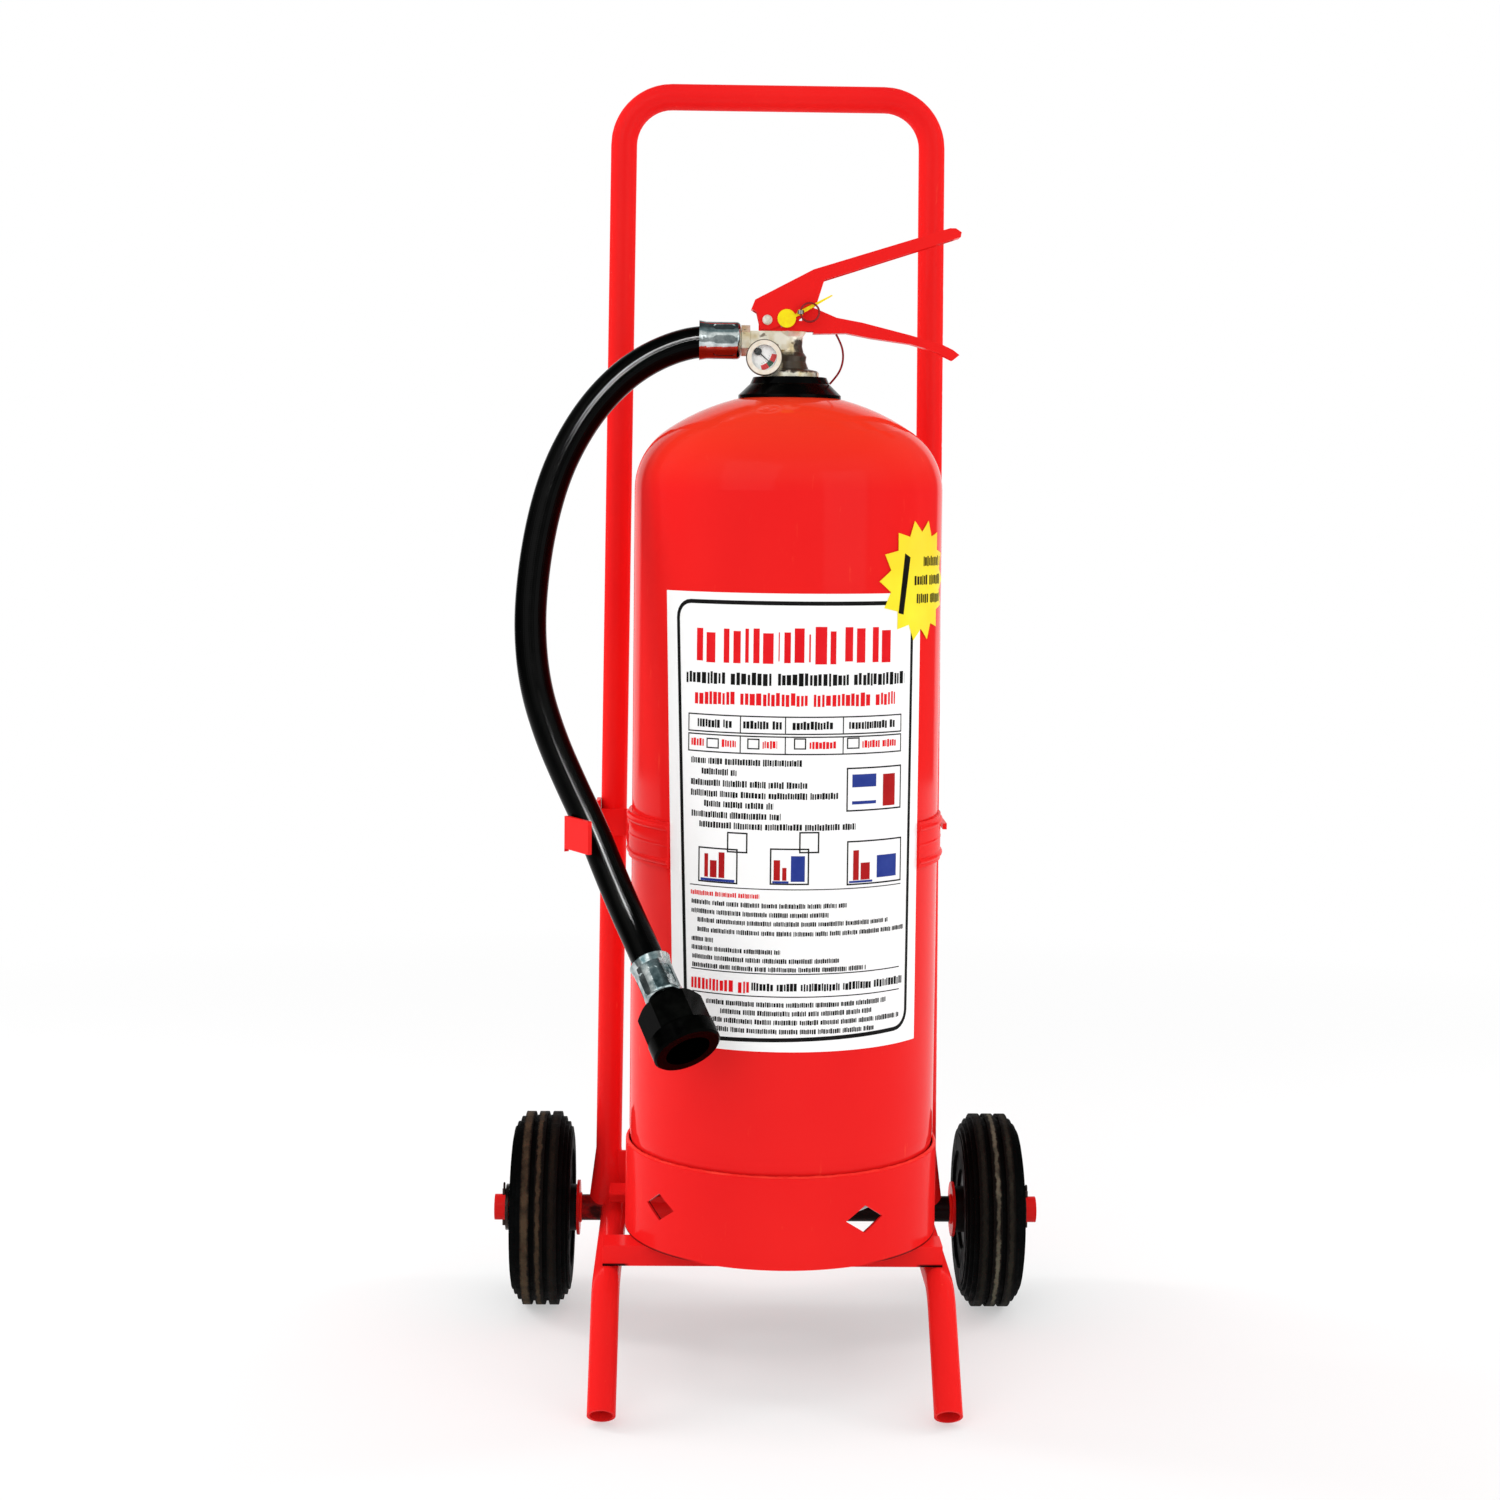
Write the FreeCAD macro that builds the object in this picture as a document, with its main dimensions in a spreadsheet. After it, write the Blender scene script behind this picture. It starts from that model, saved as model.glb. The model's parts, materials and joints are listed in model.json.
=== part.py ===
import FreeCAD, Part
import math
import os
import Sketcher

# Wheeled fire extinguisher, about 50 litres, on a two-wheeled tube trolley.
# Millimetres and degrees. The origin is on the floor under the middle of the
# bounding box, +Z is up, -Y is the front with the label, +X is the right side.

doc = FreeCAD.newDocument("wheeled_extinguisher")
sheet = doc.addObject("Spreadsheet::Sheet", "sizes")

driving = {
    # trolley tube and frame
    "pipe_radius": 13.45,
    "pipe_wall": 2.6,
    "handle_top": 1277.0,
    "handle_width": 344.0,
    "frame_width": 360.0,
    "handle_bend": 50.0,
    "crush_length": 65.0,
    "crush_width": 43.0,
    "crush_depth": 24.0,
    "leg_inset": 6.55,
    "leg_slope": 46.0,
    "leg_bend": 55.0,
    "foot_reach": 357.0,
    "angle_height": 20.0,
    "angle_depth": 35.0,
    "angle_wall": 3.0,
    "angle_overhang": 4.0,
    "front_angle_place": 77.0,
    "rear_angle_place": 140.0,
    "back_plate_height": 50.0,
    "back_plate_wall": 4.0,
    "back_plate_gap": 1.5,
    # axle and wheels
    "axle_end": 9.7,
    "tyre_radius": 100.0,
    "tyre_width": 62.0,
    "tyre_crown_width": 37.0,
    "tyre_shoulder_drop": 21.0,
    "tread_rib_width": 9.0,
    "tread_groove_depth": 4.0,
    "side_step_width": 3.2,
    "tyre_bore": 42.0,
    "hub_barrel": 24.0,
    "hub_length": 70.0,
    "bush_wall": 3.5,
    "bush_clearance": 0.05,
    "wheel_gap": 55.5,
    "wheel_play": 1.0,
    "inner_collar_radius": 28.5,
    "washer_radius": 24.0,
    "washer_wall": 3.0,
    "washer_clearance": 0.3,
    "split_pin_radius": 2.0,
    "split_pin_clearance": 0.2,
    # vessel, skirt and band
    "vessel_radius": 150.0,
    "vessel_wall": 3.0,
    "vessel_shift": 9.0,
    "vessel_to_axle": 165.0,
    "vessel_straight": 625.0,
    "crown_radius": 210.0,
    "knuckle_radius": 70.0,
    "skirt_height": 87.6,
    "skirt_wall": 3.3,
    "skirt_lap": 14.0,
    "seat_gap": 0.2,
    "vent_width": 40.5,
    "vent_height": 26.2,
    "vent_left_angle": 50.6,
    "vent_right_angle": 29.5,
    "band_height": 44.0,
    "band_middle": 525.0,
    "bar_middle": 527.0,
    "band_wall": 3.0,
    "band_bead": 3.0,
    "band_left_angle": 48.1,
    "band_right_angle": 54.9,
    "stay_wall": 4.0,
    "left_stay_height": 28.0,
    "left_stay_drop": 14.0,
    "right_stay_height": 6.0,
    "right_stay_rise": 4.5,
    "arm_height": 20.0,
    "hook_height": 31.0,
    "hook_rise": 8.5,
    "hook_side": 211.5,
    "hook_front": 92.0,
    "hook_reach": 48.0,
    "hook_turn": 30.0,
    # labels
    "label_height": 426.5,
    "label_bottom": 339.3,
    "label_left": 116.6,
    "label_taper": 9.6,
    "label_right": 122.9,
    "label_wall": 0.5,
    "label_gap": 0.1,
    "sticker_height": 777.0,
    "sticker_angle": 54.9,
    "sticker_radius": 57.5,
    "sticker_inner_radius": 45.6,
    "sticker_points": 14.0,
    # neck
    "boss_radius": 30.0,
    "boss_bore": 20.0,
    "boss_height": 22.0,
    "neck_rise": 15.0,
    "gasket_wall": 2.0,
    "collar_base_radius": 50.0,
    "collar_top_radius": 35.8,
    "collar_gap": 0.3,
    # valve
    "flange_radius": 28.0,
    "flange_height": 6.0,
    "barrel_radius": 13.0,
    "valve_top": 44.0,
    "fork_width": 15.0,
    "fork_top": 58.0,
    "chamber_radius": 9.0,
    "seat_radius": 6.2,
    "stem_radius": 4.0,
    "stem_clearance": 0.05,
    "outlet_height": 35.0,
    "outlet_reach": 39.0,
    "outlet_bore": 5.0,
    "block_front": 12.0,
    "pivot_side": 22.8,
    "pivot_height": 54.7,
    "rivet_radius": 2.9,
    "rivet_clearance": 0.05,
    "rivet_head_radius": 4.8,
    "rivet_head_height": 2.4,
    "sheet_wall": 1.8,
    "cheek_gap": 0.3,
    # squeeze lever and carry handle
    "lever_nose": 15.6,
    "lever_reach": 187.0,
    "lever_head_slope": 27.8,
    "lever_arm_slope": 17.4,
    "lever_head_length": 44.3,
    "lever_arm_depth": 13.4,
    "lever_tip_depth": 8.6,
    "lever_cheek_drop": 9.7,
    "handle_reach": 187.0,
    "handle_depth": 14.0,
    "handle_tip_depth": 9.5,
    # gauge
    "gauge_side": 26.0,
    "gauge_height": 17.4,
    "gauge_radius": 17.4,
    "gauge_depth": 13.0,
    "gauge_standoff": 22.0,
    "gauge_wall": 1.4,
    "gauge_lip": 5.2,
    "needle_side": 6.0,
    "needle_rise": 5.6,
    "needle_length": 16.9,
    "needle_hub_radius": 3.6,
    # safety pin, ring and seal
    "pin_side": 9.0,
    "pin_height": 62.0,
    "pin_radius": 1.5,
    "pin_clearance": 0.2,
    "ring_radius": 9.0,
    "ring_wire": 1.0,
    "seal_radius": 8.9,
    "lever_travel": 10.0,
    # hose and fittings
    "hose_radius": 15.4,
    "hose_bore": 9.6,
    "ferrule_length": 40.5,
    "ferrule_radius": 18.2,
    "ferrule_flare": 1.4,
    "ferrule_wall": 1.8,
    "crimp_count": 8.0,
    "crimp_length": 22.0,
    "crimp_width": 8.0,
    "nut_across": 26.0,
    "nozzle_rim_radius": 32.0,
    "nozzle_hex_across": 54.0,
    "nozzle_length": 58.0,
    "nozzle_bore": 21.0,
    # dip tube
    "dip_tube_radius": 8.0,
    "dip_tube_wall": 1.5,
    "strainer_gap": 18.0,
}

for row, (alias, number) in enumerate(driving.items(), start=1):
    sheet.set("A%d" % row, alias)
    sheet.set("B%d" % row, repr(number))
    sheet.setAlias("B%d" % row, alias)
doc.recompute()


# A size is a number together with the expression that gives it in the sheet.
class Size:
    def __init__(self, value, text):
        self.value = float(value)
        self.text = text

    def __add__(self, other):
        other = size(other)
        return Size(self.value + other.value, "(%s + %s)" % (self.text, other.text))

    def __radd__(self, other):
        return size(other) + self

    def __sub__(self, other):
        other = size(other)
        return Size(self.value - other.value, "(%s - %s)" % (self.text, other.text))

    def __rsub__(self, other):
        return size(other) - self

    def __mul__(self, other):
        other = size(other)
        return Size(self.value * other.value, "(%s * %s)" % (self.text, other.text))

    def __rmul__(self, other):
        return size(other) * self

    def __truediv__(self, other):
        other = size(other)
        return Size(self.value / other.value, "(%s / %s)" % (self.text, other.text))

    def __neg__(self):
        return Size(-self.value, "(0 - %s)" % self.text)


def size(item):
    if isinstance(item, Size):
        return item
    return Size(item, "(%s)" % repr(float(item)))


def sine(angle):
    angle = size(angle)
    return Size(math.sin(math.radians(angle.value)), "sin(%s)" % angle.text)


def cosine(angle):
    angle = size(angle)
    return Size(math.cos(math.radians(angle.value)), "cos(%s)" % angle.text)


def slope(angle):
    return sine(angle) / cosine(angle)


def root(item):
    return Size(math.sqrt(item.value), "sqrt(%s)" % item.text)


class Sizes:
    def __init__(self, numbers):
        for name, number in numbers.items():
            setattr(self, name, Size(number, "sizes." + name))


dim = Sizes(driving)

# Places that several pieces share
axle_height = dim.tyre_radius
foot_lip = dim.pipe_radius * sine(dim.leg_slope)
axle_y = (dim.foot_reach + foot_lip - dim.tyre_radius) / 2
vessel_x = dim.vessel_shift
vessel_y = axle_y - dim.vessel_to_axle
skirt_bottom = axle_height + dim.pipe_radius + dim.angle_height
skirt_top = skirt_bottom + dim.skirt_height
skirt_radius = dim.vessel_radius + dim.seat_gap + dim.skirt_wall
vessel_low = skirt_top + dim.skirt_lap
vessel_high = vessel_low + dim.vessel_straight
knuckle_span = dim.crown_radius - dim.knuckle_radius
knuckle_offset = dim.vessel_radius - dim.knuckle_radius
head_centre_drop = root(knuckle_span * knuckle_span - knuckle_offset * knuckle_offset)
head_height = dim.crown_radius - head_centre_drop
vessel_top = vessel_high + head_height
neck_top = vessel_top + dim.neck_rise
fork_half = dim.fork_width / 2
handle_inner_half = fork_half + dim.rivet_clearance
handle_outer_half = handle_inner_half + dim.sheet_wall
lever_inner_half = handle_outer_half + dim.cheek_gap
lever_outer_half = lever_inner_half + dim.sheet_wall
axle_bore_radius = dim.pipe_radius + dim.bush_clearance
leg_x = dim.frame_width / 2 - dim.pipe_radius - dim.leg_inset
wheel_x = dim.frame_width / 2 + dim.wheel_gap

parts = {}


def bind(thing, prop, amount):
    thing.setExpression(prop, size(amount).text)


def place(thing, x=0, y=0, z=0, axis=None, angle=0):
    turn = FreeCAD.Rotation()
    if axis is not None:
        turn = FreeCAD.Rotation(FreeCAD.Vector(*axis), size(angle).value)
    spot = FreeCAD.Vector(size(x).value, size(y).value, size(z).value)
    thing.Placement = FreeCAD.Placement(spot, turn)
    bind(thing, "Placement.Base.x", x)
    bind(thing, "Placement.Base.y", y)
    bind(thing, "Placement.Base.z", z)
    if isinstance(angle, Size):
        bind(thing, "Placement.Rotation.Angle", angle)
    return thing


def keep(thing, label):
    thing.Label = label
    parts[label] = thing
    return thing


# Sketches
def sketch_on(body, role, lift=None):
    sketch = body.newObject("Sketcher::SketchObject", body.Name + "_sketch")
    plane = [item for item in body.Origin.OriginFeatures if item.Role == role][0]
    sketch.AttachmentSupport = [(plane, "")]
    sketch.MapMode = "FlatFace"
    if lift is not None:
        bind(sketch, "AttachmentOffset.Base.z", lift)
    return sketch


def pin_point(sketch, edge, point, x, y):
    for kind, amount, axis in (("DistanceX", size(x), -2), ("DistanceY", size(y), -1)):
        if amount.value == 0:
            sketch.addConstraint(Sketcher.Constraint("PointOnObject", edge, point, axis))
            continue
        index = sketch.addConstraint(
            Sketcher.Constraint(kind, -1, 1, edge, point, amount.value)
        )
        sketch.setExpression("Constraints[%d]" % index, amount.text)


# The edge that ends at a corner is an arc where the corner has a third number:
# its radius, positive where the centre lies left of the way travelled.
def arc_between(start, end, radius):
    chord = end - start
    half = chord.Length / 2
    height = math.sqrt(max(radius * radius - half * half, 0))
    left = FreeCAD.Vector(-chord.y, chord.x, 0).normalize()
    side = 1 if radius > 0 else -1
    centre = (start + end) * 0.5 + left * height * side
    first, last = (start, end) if radius > 0 else (end, start)
    circle = Part.Circle(centre, FreeCAD.Vector(0, 0, 1), abs(radius))
    return Part.ArcOfCircle(circle, circle.parameter(first), circle.parameter(last))


def draw(sketch, corners, closed=True):
    count = len(corners)
    spots = [FreeCAD.Vector(size(c[0]).value, size(c[1]).value, 0) for c in corners]
    ends = []
    for number in range(count if closed else count - 1):
        after = (number + 1) % count
        corner = corners[after]
        if len(corner) == 3:
            radius = size(corner[2])
            shape = arc_between(spots[number], spots[after], radius.value)
            edge = sketch.addGeometry(shape, False)
            ends.append((edge, 1, 2) if radius.value > 0 else (edge, 2, 1))
            index = sketch.addConstraint(
                Sketcher.Constraint("Radius", edge, abs(radius.value))
            )
            text = radius.text if radius.value > 0 else (-radius).text
            sketch.setExpression("Constraints[%d]" % index, text)
        else:
            edge = sketch.addGeometry(Part.LineSegment(spots[number], spots[after]), False)
            ends.append((edge, 1, 2))
    for number, (edge, first, last) in enumerate(ends):
        pin_point(sketch, edge, first, corners[number][0], corners[number][1])
        if number > 0:
            before = ends[number - 1]
            sketch.addConstraint(
                Sketcher.Constraint("Coincident", before[0], before[2], edge, first)
            )
    if closed:
        sketch.addConstraint(
            Sketcher.Constraint(
                "Coincident", ends[-1][0], ends[-1][2], ends[0][0], ends[0][1]
            )
        )
    else:
        pin_point(sketch, ends[-1][0], ends[-1][2], corners[-1][0], corners[-1][1])
    return sketch


def draw_circle(sketch, radius, x=0, y=0):
    radius = size(radius)
    spot = FreeCAD.Vector(size(x).value, size(y).value, 0)
    circle = Part.Circle(spot, FreeCAD.Vector(0, 0, 1), radius.value)
    edge = sketch.addGeometry(circle, False)
    pin_point(sketch, edge, 3, x, y)
    index = sketch.addConstraint(Sketcher.Constraint("Radius", edge, radius.value))
    sketch.setExpression("Constraints[%d]" % index, radius.text)
    return sketch


def rectangle(x_low, x_high, y_low, y_high):
    return [(x_low, y_low), (x_high, y_low), (x_high, y_high), (x_low, y_high)]


# Features of a body
def new_body(label):
    return keep(doc.addObject("PartDesign::Body", label), label)


def extrude(body, kind, sketch, length=None, symmetric=False, backward=False):
    step = body.newObject("PartDesign::" + kind, body.Name + "_" + kind.lower())
    step.Profile = sketch
    if length is None:
        step.Type = "ThroughAll"
    else:
        bind(step, "Length", length)
    step.SideType = "Symmetric" if symmetric else "One side"
    step.Reversed = backward
    return step


def revolve(body, sketch, kind="Revolution"):
    step = body.newObject("PartDesign::" + kind, body.Name + "_" + kind.lower())
    step.Profile = sketch
    step.ReferenceAxis = (sketch, ["V_Axis"])
    step.Angle = 360
    return step


def turned(label, corners):
    body = new_body(label)
    revolve(body, draw(sketch_on(body, "XZ_Plane"), corners))
    return body


def sweep(body, kind, profile, path, mode="Standard", transition="Transformed"):
    step = body.newObject("PartDesign::" + kind, body.Name + "_sweep")
    step.Profile = profile
    step.Spine = (path, ["Edge%d" % (n + 1) for n in range(path.GeometryCount)])
    step.Mode = mode
    step.Transition = transition
    return step


def polar_copies(body, step, count, spread=360):
    pattern = body.newObject("PartDesign::PolarPattern", body.Name + "_copies")
    pattern.Originals = [step]
    axis = [item for item in body.Origin.OriginFeatures if item.Role == "Z_Axis"][0]
    pattern.Axis = (axis, [""])
    bind(pattern, "Angle", spread)
    bind(pattern, "Occurrences", count)
    body.Tip = pattern
    return pattern


# Primitives and booleans
def primitive(kind, name, **amounts):
    thing = doc.addObject("Part::" + kind, name)
    for prop, amount in amounts.items():
        bind(thing, prop, amount)
    return thing


def cut(name, base, tool):
    step = doc.addObject("Part::Cut", name)
    step.Base = base
    step.Tool = tool
    return step


def join(name, kind, *pieces):
    step = doc.addObject("Part::" + kind, name)
    step.Shapes = list(pieces)
    return step


# A group keeps equal pieces as separate solids in one node.
def group(label, *pieces):
    step = doc.addObject("Part::Compound", label)
    step.Links = list(pieces)
    return keep(step, label)


def mirrored(name, source):
    step = doc.addObject("Part::Mirroring", name)
    step.Source = source
    step.Normal = FreeCAD.Vector(1, 0, 0)
    return step


def oval(middle, reach, radius):
    straight = reach - radius
    return [
        (middle - straight, -radius, radius),
        (middle + straight, -radius),
        (middle + reach, 0, radius),
        (middle + straight, radius, radius),
        (middle - straight, radius),
        (middle - reach, 0, radius),
    ]


# Push handle: one bent tube whose crushed ends are coped over axle and legs
foot_x = dim.frame_width / 2 - dim.pipe_radius
top_x = dim.handle_width / 2 - dim.pipe_radius
top_z = dim.handle_top - dim.pipe_radius
crush_top = axle_height + dim.crush_length
rail_run = foot_x - top_x
rail_rise = top_z - crush_top


def rail_x(z):
    return foot_x - rail_run * (z - crush_top) / rail_rise


def crushed_end(body, kind, side, trim):
    ring = sketch_on(body, "XY_Plane", crush_top)
    draw_circle(ring, dim.pipe_radius - trim, foot_x * side)
    end = sketch_on(body, "XY_Plane", axle_height)
    draw(end, oval(foot_x * side, dim.crush_width / 2 - trim, dim.crush_depth / 2 - trim))
    loft = body.newObject("PartDesign::" + kind, body.Name + "_end")
    loft.Profile = ring
    loft.Sections = [end]


def make_handle_frame():
    body = new_body("handle_frame")
    rail_length = root(rail_run * rail_run + rail_rise * rail_rise)
    lean_sine = rail_run / rail_length
    lean_cosine = rail_rise / rail_length
    setback = dim.handle_bend * lean_cosine / (1 + lean_sine)
    bend_x = top_x + setback * lean_sine
    bend_z = top_z - setback * lean_cosine
    flat_x = top_x - setback
    path = sketch_on(body, "XZ_Plane")
    draw(
        path,
        [
            (-foot_x, crush_top),
            (-bend_x, bend_z),
            (-flat_x, top_z, -dim.handle_bend),
            (flat_x, top_z),
            (bend_x, bend_z, -dim.handle_bend),
            (foot_x, crush_top),
        ],
        closed=False,
    )
    profile = sketch_on(body, "XY_Plane", crush_top)
    draw_circle(profile, dim.pipe_radius, -foot_x)
    draw_circle(profile, dim.pipe_radius - dim.pipe_wall, -foot_x)
    sweep(body, "AdditivePipe", profile, path)
    for kind, trim in (("AdditiveLoft", 0), ("SubtractiveLoft", dim.pipe_wall)):
        for side in (-1, 1):
            crushed_end(body, kind, side, trim)
    cope = draw_circle(sketch_on(body, "YZ_Plane"), dim.pipe_radius, 0, axle_height)
    extrude(body, "Pocket", cope, symmetric=True)
    leg_cope = sketch_on(body, "XZ_Plane")
    draw_circle(leg_cope, dim.pipe_radius, -leg_x, axle_height)
    draw_circle(leg_cope, dim.pipe_radius, leg_x, axle_height)
    extrude(body, "Pocket", leg_cope, backward=True)
    place(body, 0, axle_y, 0)


# Legs: straight forward from the axle, then sloping down to a square-cut foot
foot_rise = dim.pipe_radius * cosine(dim.leg_slope)


def make_leg(label, side):
    body = new_body(label)
    drop = axle_height - foot_rise
    bend_y = dim.foot_reach - drop / slope(dim.leg_slope)
    setback = dim.leg_bend * slope(dim.leg_slope / 2)
    path = sketch_on(body, "YZ_Plane")
    draw(
        path,
        [
            (0, axle_height),
            (setback - bend_y, axle_height),
            (
                -bend_y - setback * cosine(dim.leg_slope),
                axle_height - setback * sine(dim.leg_slope),
                dim.leg_bend,
            ),
            (-dim.foot_reach, foot_rise),
        ],
        closed=False,
    )
    profile = sketch_on(body, "XZ_Plane")
    draw_circle(profile, dim.pipe_radius, 0, axle_height)
    draw_circle(profile, dim.pipe_radius - dim.pipe_wall, 0, axle_height)
    sweep(body, "AdditivePipe", profile, path)
    cope = draw_circle(sketch_on(body, "YZ_Plane"), dim.pipe_radius, 0, axle_height)
    extrude(body, "Pocket", cope, symmetric=True)
    place(body, leg_x * side, axle_y, 0)


# Angle irons that carry the skirt, and the flat bar behind it
def make_cross_angle(label, corners):
    body = new_body(label)
    draw(sketch_on(body, "YZ_Plane"), corners)
    width = 2 * (leg_x + dim.angle_overhang)
    extrude(body, "Pad", body.Group[0], width, symmetric=True)
    place(body, 0, vessel_y, skirt_bottom)


def make_cross_members():
    wall = dim.angle_wall
    front = -dim.front_angle_place
    make_cross_angle(
        "front_cross_angle",
        [
            (front, -dim.angle_height),
            (front + wall, -dim.angle_height),
            (front + wall, -wall),
            (front + dim.angle_depth, -wall),
            (front + dim.angle_depth, 0),
            (front, 0),
        ],
    )
    rear = dim.rear_angle_place
    make_cross_angle(
        "rear_cross_angle",
        [
            (rear, -dim.angle_height),
            (rear, 0),
            (rear - dim.angle_depth, 0),
            (rear - dim.angle_depth, -wall),
            (rear - wall, -wall),
            (rear - wall, -dim.angle_height),
        ],
    )
    body = new_body("back_plate")
    reach = foot_x - 6
    near = skirt_radius + dim.back_plate_gap - dim.vessel_to_axle
    plate = sketch_on(body, "XY_Plane", axle_height + dim.pipe_radius)
    draw(plate, rectangle(-reach, reach, near, near + dim.back_plate_wall))
    extrude(body, "Pad", plate, dim.back_plate_height)
    for side in (-1, 1):
        crushed_end(body, "SubtractiveLoft", side, 0)
    place(body, 0, axle_y, 0)


# Axle tube with its collars, washers and split pins
bush_outer = axle_bore_radius + dim.bush_wall
collar_inner_x = wheel_x - dim.hub_length / 2 - dim.wheel_play
washer_x = wheel_x + dim.hub_length / 2 + dim.wheel_play
split_pin_x = washer_x + dim.washer_wall + dim.split_pin_radius + dim.washer_clearance


def make_axle():
    body = new_body("axle_tube")
    profile = draw_circle(sketch_on(body, "YZ_Plane"), dim.pipe_radius)
    draw_circle(profile, dim.pipe_radius - dim.pipe_wall)
    extrude(body, "Pad", profile, 2 * (split_pin_x + dim.axle_end), symmetric=True)
    holes = sketch_on(body, "XY_Plane")
    draw_circle(holes, dim.split_pin_radius + dim.split_pin_clearance, split_pin_x)
    draw_circle(holes, dim.split_pin_radius + dim.split_pin_clearance, -split_pin_x)
    extrude(body, "Pocket", holes, symmetric=True)
    place(body, 0, axle_y, axle_height)


# A flat ring on the axle, from its inner face outwards
def axle_ring(name, inner, outer, wall, near):
    ring = primitive("Cylinder", name + "_disc", Radius=outer, Height=wall)
    bore = primitive("Cylinder", name + "_bore", Radius=inner, Height=wall)
    piece = cut(name, ring, bore)
    return place(piece, near, axle_y, axle_height, (0, 1, 0), 90)


def make_axle_rings():
    collar = axle_ring(
        "collar_right",
        dim.pipe_radius,
        dim.inner_collar_radius,
        dim.washer_wall,
        collar_inner_x - dim.washer_wall,
    )
    group("axle_collars", collar, mirrored("collar_left", collar))
    washer = axle_ring(
        "washer_right",
        dim.pipe_radius + dim.washer_clearance,
        dim.washer_radius,
        dim.washer_wall,
        washer_x,
    )
    group("axle_washers", washer, mirrored("washer_left", washer))


def make_split_pins():
    radius = dim.split_pin_radius
    reach = dim.pipe_radius + 3 * radius
    shank = primitive("Cylinder", "split_pin_shank", Radius=radius, Height=2 * reach)
    place(shank, split_pin_x, axle_y, axle_height - reach)
    eye = primitive("Torus", "split_pin_eye", Radius1=radius + 1, Radius2=radius / 2)
    place(eye, split_pin_x, axle_y, axle_height + reach + radius + 1, (0, 1, 0), 90)
    pin = join("split_pin_right", "MultiFuse", shank, eye)
    group("split_pins", pin, mirrored("split_pin_left", pin))


# Wheels: solid ribbed tyre, hub and bush
def tyre_profile():
    crown = dim.tyre_radius
    deep = crown - dim.tread_groove_depth
    rib = dim.tread_rib_width / 2
    edge = dim.tyre_crown_width / 2
    side = dim.tyre_width / 2
    face = side - dim.side_step_width
    half = [
        (crown, rib),
        (deep, rib),
        (deep, edge - 2 * rib),
        (crown, edge - 2 * rib),
        (crown, edge),
    ]
    steps = 4
    reach = edge
    for step in range(1, steps + 1):
        radius = crown - dim.tyre_shoulder_drop * step / steps
        half.append((radius, reach))
        reach = edge + (side - edge) * sine(90.0 * step / steps)
        half.append((radius, reach))
    rim = dim.tyre_bore + (crown - dim.tyre_bore) / 3
    half = half + [(rim, side), (rim, face), (dim.tyre_bore, face)]
    other = [(radius, -reach) for radius, reach in half]
    return half + other[::-1]


def hub_profile():
    half = dim.hub_length / 2
    web = dim.tyre_width / 2 - 2 * dim.side_step_width
    return [
        (bush_outer, -half),
        (dim.hub_barrel, -half),
        (dim.hub_barrel, -web),
        (dim.tyre_bore, -web),
        (dim.tyre_bore, web),
        (dim.hub_barrel, web),
        (dim.hub_barrel, half),
        (bush_outer, half),
    ]


def make_wheel(name, side):
    half = dim.hub_length / 2
    tyre = turned(name + "_tyre", tyre_profile())
    hub = turned(name + "_hub", hub_profile())
    bush = turned(name + "_bush", rectangle(axle_bore_radius, bush_outer, -half, half))
    for piece in (tyre, hub, bush):
        place(piece, wheel_x * side, axle_y, axle_height, (0, 1, 0), 90)


# Vessel of welded sheet with two dished heads, and its skirt
def vessel_profile():
    def shell(trim):
        crown = dim.crown_radius - trim
        knuckle = dim.knuckle_radius - trim
        share = crown / knuckle_span
        tangent_x = knuckle_offset * share
        tangent_z = head_centre_drop - head_centre_drop * share
        top = dim.vessel_straight
        return crown, knuckle, tangent_x, tangent_z, top, dim.vessel_radius - trim

    crown, knuckle, x, z, top, radius = shell(0)
    outer = [
        (0, -head_height),
        (x, z, crown),
        (radius, 0, knuckle),
        (radius, top),
        (x, top - z, knuckle),
        (0, top + head_height, crown),
    ]
    crown, knuckle, x, z, top, radius = shell(dim.vessel_wall)
    inner = [
        (0, top + head_height - dim.vessel_wall),
        (x, top - z, -crown),
        (radius, top, -knuckle),
        (radius, 0),
        (x, z, -knuckle),
        (0, dim.vessel_wall - head_height, -crown),
    ]
    return outer + inner


def make_vessel():
    body = turned("vessel", vessel_profile())
    opening = sketch_on(body, "XY_Plane", dim.vessel_straight)
    draw_circle(opening, dim.boss_radius)
    extrude(body, "Pocket", opening, backward=True)
    place(body, vessel_x, vessel_y, vessel_low)

    body = new_body("skirt_ring")
    inner = dim.vessel_radius + dim.seat_gap
    chamfer = dim.skirt_wall / 3
    corners = [
        (inner, 0),
        (skirt_radius, 0),
        (skirt_radius, dim.skirt_height - chamfer),
        (skirt_radius - chamfer, dim.skirt_height),
        (inner, dim.skirt_height),
    ]
    revolve(body, draw(sketch_on(body, "XZ_Plane"), corners))
    middle = dim.skirt_height / 2
    half = dim.vent_width / 2
    rise = dim.vent_height / 2
    vent = sketch_on(body, "XZ_Plane")
    draw(vent, [(-half, middle), (0, middle - rise), (half, middle), (0, middle + rise)])
    step = extrude(body, "Pocket", vent, symmetric=True)
    polar_copies(body, step, 2, dim.vent_left_angle + dim.vent_right_angle)
    place(body, vessel_x, vessel_y, skirt_bottom, (0, 0, 1), -dim.vent_left_angle)


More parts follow.
